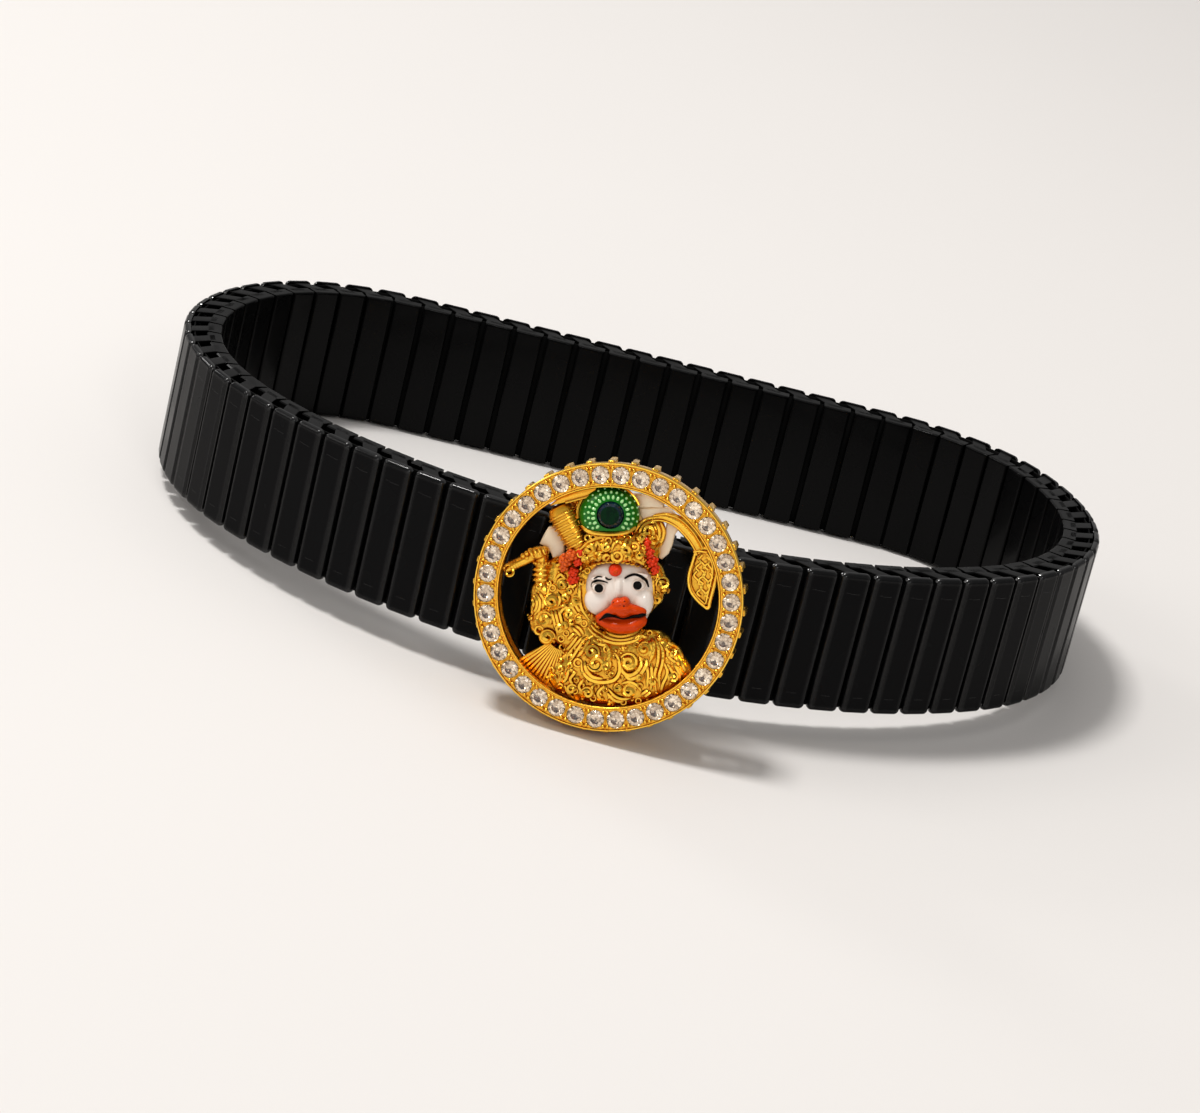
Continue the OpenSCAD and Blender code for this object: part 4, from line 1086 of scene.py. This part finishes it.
def lidLine(x, y, z, side, high, wide, sweep, deep):  # an arc above or below an eye
    thick = eyes["upper"] if side > 0 else eyes["lower"]
    run = []
    for k in range(eyes["steps"] + 1):
        t = k / eyes["steps"]
        a = 90 * side - sweep / 2 + t * sweep
        back = 0.06 + deep + 0.08 * abs(math.cos(math.radians(a)))
        run.append((*polar(wide, a, (x, y), high), z - back, thick * (0.4 + 0.6 * math.sin(math.pi * t))))
    return run


def faceParts():
    skull = blended("skull", [
        *balls([(0.5, 0.42, 1.9, 2.36, 2.1, 1.12)], 28, 18),
        *balls([(0.45, 1.45, 2.3, 1.75, 0.8, 0.55), (-0.75, -0.35, 2.35, 1.1, 1.05, 0.72),
                (2.0, -0.35, 2.3, 0.85, 1.15, 0.68)]),
        *balls([(-0.7, 1.12, 2.72, 0.72, 0.24, 0.3), (1.75, 1.4, 2.62, 0.78, 0.26, 0.3),
                (0.5, 0.6, 2.85, 0.34, 0.85, 0.36)], 16, 10),
        *balls([(0.75, -0.8, 2.2, 1.7, 1.0, 0.75), (1.0, -1.3, 1.9, 1.5, 0.7, 0.7)])], 0.07, 5)
    parts = [painted(skull, "whiteEnamel")]
    black = []
    for x, y, z in eyes["at"]:
        parts.append(painted(ball((x, y, z - eyes["deep"]), eyes["ball"], 24, 14), "whiteEnamel"))
        black.append(ball((x, y, z + eyes["proud"]), eyes["pupil"], 24, 12))
        near, far = eyes["lids"]
        lids = [lidLine(x, y, z, side, *near) for side in (1, -1)]
        lids += [lidLine(x, y, z, side, *far) for side in ((1, -1) if x > 0 else (-1,))]
        parts.append(painted(wires("lids", lids, 2), "whiteEnamel"))
    skin = skinOf(skull)
    lines = [[(x, y, topOf(skin, x, y) + brows["lift"], brows["thick"] * r) for x, y, r in rounded(row)]
             for row in brows["rows"]]
    black.append(wires("brows", lines, 2))
    return parts + [painted(joined("black", black), "blackPaint")]


mouth = {
    "row": [(-0.72, -1.62, 0.04), (-0.44, -1.38, 0.1), (-0.14, -1.2, 0.15), (0.2, -1.22, 0.12),
            (0.58, -1.38, 0.06), (0.9, -1.45, 0.05), (1.3, -1.36, 0.08), (1.68, -1.24, 0.14),
            (2.06, -1.18, 0.15), (2.34, -1.16, 0.08)],  # right, up, half width
    "thick": 1.15, "sunk": 0.1,
    "dots": [(0.26, -0.3), (1.02, -0.2), (0.98, -0.52)], "dot": (0.055, 0.05, 0.03),
}


def muzzleParts():
    lips = blended("lips", [
        *balls([(0.75, -1.35, 2.6, 1.62, 0.8, 0.6), (0.56, -0.45, 3.08, 0.52, 0.44, 0.66),
                (0.95, -0.38, 3.06, 0.42, 0.44, 0.62), (0.72, -0.78, 3.15, 0.88, 0.4, 0.62)]),
        hulled([(0.3, -0.88, 3.05, 0.5, 0.34, 0.55), (-0.3, -1.17, 2.92, 0.3, 0.2, 0.45),
                (-0.8, -1.42, 2.75, 0.25, 0.2, 0.42)], 14),
        hulled([(0.95, -0.75, 3.05, 0.5, 0.42, 0.55), (1.7, -0.88, 2.9, 0.38, 0.34, 0.5),
                (2.12, -0.98, 2.68, 0.32, 0.36, 0.44)], 14),
        *balls([(0.88, -1.05, 3.25, 0.5, 0.24, 0.48)], 16, 10),
        hulled([(-0.72, -1.66, 2.7, 0.3, 0.26, 0.42), (-0.2, -1.86, 2.88, 0.42, 0.34, 0.5),
                (0.5, -2.0, 3.0, 0.6, 0.42, 0.58), (1.5, -1.95, 3.0, 0.6, 0.42, 0.56),
                (2.1, -1.6, 2.7, 0.36, 0.44, 0.44)], 16),
        *balls([(0.8, -2.1, 2.85, 1.2, 0.42, 0.6)])], 0.06, 3)
    skin = skinOf(painted(lips, "orangeEnamel"))
    seam = [(x, y, topOf(skin, x, y) - mouth["sunk"] * r, mouth["thick"] * r)
            for x, y, r in rounded(mouth["row"])]
    dots = [ball((x, y, topOf(skin, x, y)), mouth["dot"], 10, 6) for x, y in mouth["dots"]]
    return [lips, *[painted(part, "blackPaint") for part in (wires("mouth", [seam], 3), *dots)]]


studs = {
    "rows": [  # circle, count, half length, half width, start and sweep
        (1.15, 18, 0.19, 0.11, -44, 268), (1.48, 19, 0.13, 0.1, -38, 256), (1.76, 17, 0.09, 0.085, -30, 240)],
    "deep": 0.09, "sunk": 0.03,
}


def haloParts():  # a dome cut off flat behind and below, with a well for the cabochon and rows of studs
    x, y = halo["at"]
    dome = ball((x, y, halo["low"]), (halo["radius"], halo["high"], halo["thick"]), 64, 32)
    for at, normal in (((x, y, halo["low"]), (0, 0, -1)), ((x, halo["foot"], 2), (0, -1, 0))):
        with editing(dome):
            bpy.ops.mesh.bisect(plane_co=at, plane_no=normal, use_fill=True, clear_outer=True)
    dome = blended("dome", [dome], 0.07, 6)
    bpy.ops.mesh.primitive_cylinder_add(vertices=48, radius=halo["seat"], depth=2,
                                        location=(*halo["stone"], 3.5))
    carved(dome, bpy.context.active_object)
    pale = []
    for circle, count, long, wide, start, sweep in studs["rows"]:
        for k in range(count):
            a = start + k * sweep / (count - 1)
            px, py = polar(circle, a, halo["stone"])
            rise = 1 - ((px - x) / halo["radius"]) ** 2 - ((py - y) / halo["high"]) ** 2
            if rise > 0.04 and py > halo["foot"] + 0.1:
                top = halo["low"] + halo["thick"] * math.sqrt(rise) - studs["sunk"]
                pale.append(ball((px, py, top), (long, wide, studs["deep"]), 10, 6, (0, 0, a)))
    return [painted(dome, "greenEnamel"), painted(joined("studs", pale), "paleGreen")]


petals = {
    "orange": [(-2.95, 2.4, 2.25, 0.5, 0.5, 0.42), (-3.05, 1.95, 2.1, 0.3, 0.35, 0.35),
               (-2.5, 2.8, 2.4, 0.45, 0.42, 0.42)],
    "red": [(-1.95, 2.98, 2.35, 0.3, 0.3, 0.36), (-2.1, 2.35, 2.3, 0.3, 0.3, 0.35),
            (-2.45, 1.6, 2.15, 0.32, 0.34, 0.35), (-2.45, 1.1, 2.1, 0.4, 0.34, 0.36),
            (2.56, 3.65, 2.35, 0.2, 0.45, 0.3), (2.75, 3.05, 2.3, 0.26, 0.4, 0.33),
            (2.9, 2.5, 2.2, 0.38, 0.42, 0.38), (3.08, 1.95, 2.05, 0.26, 0.4, 0.33)],
    "bumps": 9, "spread": 0.3, "bump": (0.14, 0.14, 0.1),
}


def clusterOf(rows):  # each petal is a ball under small bumps
    parts = []
    for x, y, z, wide, high, deep in rows:
        parts.append(ball((x, y, z), (wide, high, deep), 16, 10))
        for k in range(petals["bumps"]):
            px, py = polar(petals["spread"] * math.sqrt(k + 0.4), math.degrees(k * seedTurn))
            rise = math.sqrt(max(0, 1 - px * px - py * py))
            parts.append(ball((x + px * wide, y + py * high, z + deep * rise), petals["bump"], 10, 7))
    return parts


def flowerParts():
    return [painted(joined("orangePetals", clusterOf(petals["orange"])), "petalOrange"),
            painted(joined("redPetals", clusterOf(petals["red"])), "redEnamel")]


ribbons = {
    "edge": 0.14,
    "rows": [  # height of the back, of the front, outline
        (0.9, 1.7, [(1.45, 6.92), (1.7, 6.3), (1.95, 5.95), (2.7, 6.02), (3.5, 5.98), (3.55, 6.25),
                    (3.15, 6.6), (2.4, 6.88)]),
        (0.9, 1.62, [(1.85, 6.0), (1.95, 5.5), (2.2, 5.0), (2.9, 5.2), (3.9, 5.35), (4.3, 5.6), (3.95, 6.05),
                     (3.4, 6.1), (2.6, 6.02)]),
        (0.7, 1.5, [(3.75, 5.05), (3.62, 4.4), (3.45, 3.7), (3.15, 3.1), (3.0, 2.75), (3.45, 2.5), (3.9, 2.9),
                    (4.15, 3.5), (4.3, 4.2), (4.7, 4.75), (4.3, 5.05)]),
        (0.7, 1.5, [(-4.85, 3.35), (-4.6, 3.9), (-4.25, 4.5), (-3.7, 4.5), (-3.2, 3.8), (-3.1, 3.0),
                    (-3.25, 2.25), (-3.9, 2.15), (-4.05, 2.7), (-4.35, 3.1)]),
    ],
}


def ribbonParts():
    return [painted(plate("ribbon", outline, low, high, ribbons["edge"], 3), "creamEnamel")
            for low, high, outline in ribbons["rows"]]


def dotParts():
    return [painted(ball((0.28, 1.78, 2.78), (0.46, 0.46, 0.4), 24, 14), "redEnamel"),
            painted(ball((0.34, 1.68, 3.12), (0.17, 0.17, 0.09), 14, 8), "orangeEnamel")]


faceShift = (0.19, 0.12)
onFace("faceEnamel", faceParts(), "face_enamel", faceShift)
onFace("muzzleEnamel", muzzleParts(), "muzzle_enamel", faceShift)
onFace("foreheadDot", dotParts(), "forehead_dot", faceShift)
onFace("haloEnamel", haloParts(), "halo_enamel")
onFace("sideFlowers", flowerParts(), "side_flowers")
onFace("whiteRibbons", ribbonParts(), "white_ribbons")


# Stones
def faceted(name, rows, plain, second, isSecond):  # rows of [radius, z, points, turn], and two finishes
    points = [(*polar(radius, turn + 360 * k / count), z)
              for radius, z, count, turn in rows for k in range(count)]
    obj = outlined(name, points, edges=[(k, k + 1) for k in range(len(points) - 1)])
    with editing(obj):
        bpy.ops.mesh.convex_hull()
    bpy.ops.object.shade_flat()
    painted(obj, plain).data.materials.append(coats[second])
    for face in obj.data.polygons:
        face.material_index = int(isSecond(face))
    return obj


cabochonRings = [(0.9, 2.5, 32, 0), (0.9, 2.95, 16, 0), (0.8, 3.22, 16, 11.25), (0.64, 3.4, 16, 0)]
brilliantRings = [(0.34, 0.2, 8, 22.5), (0.49, 0.125, 8, 0), (0.6, 0.02, 16, 0), (0.6, 0, 16, 0),
                  (0.36, -0.22, 8, 11.25), (0.02, -0.48, 4, 0)]
facetTurn = 22.5


def besideTop(face):
    return face.normal.z <= 0.95


def inShade(face):  # every other facet of the back, tinted dark as painted shade standing for the stone's dark reflections
    facet = math.floor(math.degrees(math.atan2(face.center.y, face.center.x)) / facetTurn)
    return face.normal.z < -0.3 and facet % 2 == 1


cabochon = faceted("haloStone", cabochonRings, "darkStone", "stoneRim", besideTop)
cabochon.matrix_world = Matrix.Translation((*halo["stone"], 0))
settled(cabochon, onFigure, "halo_stone")
brilliant = faceted("brilliant", brilliantRings, "clearStone", "stoneShade", inShade)
for k in range(ring["stones"]):
    stone = copied(brilliant, roundRing(k) @ Matrix.Translation((ring["stoneCircle"], 0, ring["girdleAt"])))
    stone.name = stone.data.name = f"ringStone{k + 1:02d}"
    settled(stone, onMedallion, f"ring_stone_{k + 1:02d}")
dropped(brilliant)
print("stage: enamels and stones made")

# Floor, light and camera
studio = {
    "floor": (0.78, 0.755, 0.735), "floorDark": 0.96, "floorRough": 0.75, "floorSpecular": 0.25,
    "world": (1.0, 0.985, 0.97), "worldStrength": 0.33,
    "lights": [  # name, place, aim, size, power, colour
        ("overhead", (-0.15, 0.25, 0.75), (0, 0, 0), (0.9, 0.7), 0.9, (1.0, 0.97, 0.94)),
        ("left", (-0.55, -0.10, 0.35), (0, 0, 0.01), (0.30, 0.30), 0.55, (1.0, 0.96, 0.92)),
        ("front", (0.22, -0.60, 0.42), (0, 0, 0.01), (0.16, 0.16), 0.6, (1.0, 0.98, 0.96)),
        ("key", (-0.26, 0.02, 0.62), (0, 0, 0.01), (0.13, 0.13), 3.0, (1.0, 0.985, 0.965)),
        ("backLeft", (-0.50, 0.45, 0.30), (0, 0, 0.01), (0.15, 0.15), 0.7, (1.0, 0.99, 0.97)),
        ("panel", (-0.1, -0.95, 0.16), (0, 0, 0.01), (1.1, 0.5), 1.5, (1.0, 0.97, 0.93)),
    ],
}
bpy.ops.mesh.primitive_plane_add(size=8, location=(0, 0, 0))
floor = bpy.context.active_object
floor.name = "floor"
floorCoat, floorTree, floorShader = blank("paleFloor")
floorGrain = placed(floorTree, grainGroup, Fine=900.0, Broad=9.0)
floorDark = [c * studio["floorDark"] for c in studio["floor"]]
floorTree.links.new(blendOf(floorTree, floorGrain.outputs["Cloud"], floorDark, studio["floor"]),
                    floorShader.inputs["Base Color"])
floorShader.inputs["Roughness"].default_value = studio["floorRough"]
floorShader.inputs["Specular IOR Level"].default_value = studio["floorSpecular"]
floor.data.materials.append(floorCoat)

world = bpy.data.worlds.new("studio") if bpy.context.scene.world is None else bpy.context.scene.world
bpy.context.scene.world = world
world.use_nodes = True
background = world.node_tree.nodes["Background"]
background.inputs["Color"].default_value = (*studio["world"], 1)
background.inputs["Strength"].default_value = studio["worldStrength"]
for name, place, aim, size, power, colour in studio["lights"]:
    lamp = bpy.data.lights.new(name, "AREA")
    lamp.shape = "RECTANGLE"
    lamp.size, lamp.size_y = size
    lamp.energy = power
    lamp.color = colour
    lampObj = bpy.data.objects.new(name, lamp)
    lampObj.location = place
    lampObj.rotation_euler = (Vector(aim) - Vector(place)).to_track_quat("-Z", "Y").to_euler()
    bpy.context.scene.collection.objects.link(lampObj)

view = {"place": (-1.919, -266.685, 105.494), "forward": (0.00371, 0.93318, -0.35939),
        "up": (-0.2374, 0.34994, 0.90619), "lens": 118.03, "sensor": 36}
cameraData = bpy.data.cameras.new("camera")
cameraData.lens = view["lens"]
cameraData.sensor_width = view["sensor"]
camera = bpy.data.objects.new("camera", cameraData)
back = -Vector(view["forward"]).normalized()
side = Vector(view["up"]).cross(back).normalized()
upward = back.cross(side)
turned = Matrix((side, upward, back)).transposed().to_4x4()
camera.matrix_world = Matrix.Translation(Vector(view["place"]) * toMetres) @ turned
bpy.context.scene.collection.objects.link(camera)
bpy.context.scene.camera = camera
bpy.context.scene.view_settings.view_transform = "Standard"
print("stage: floor, light and camera set")
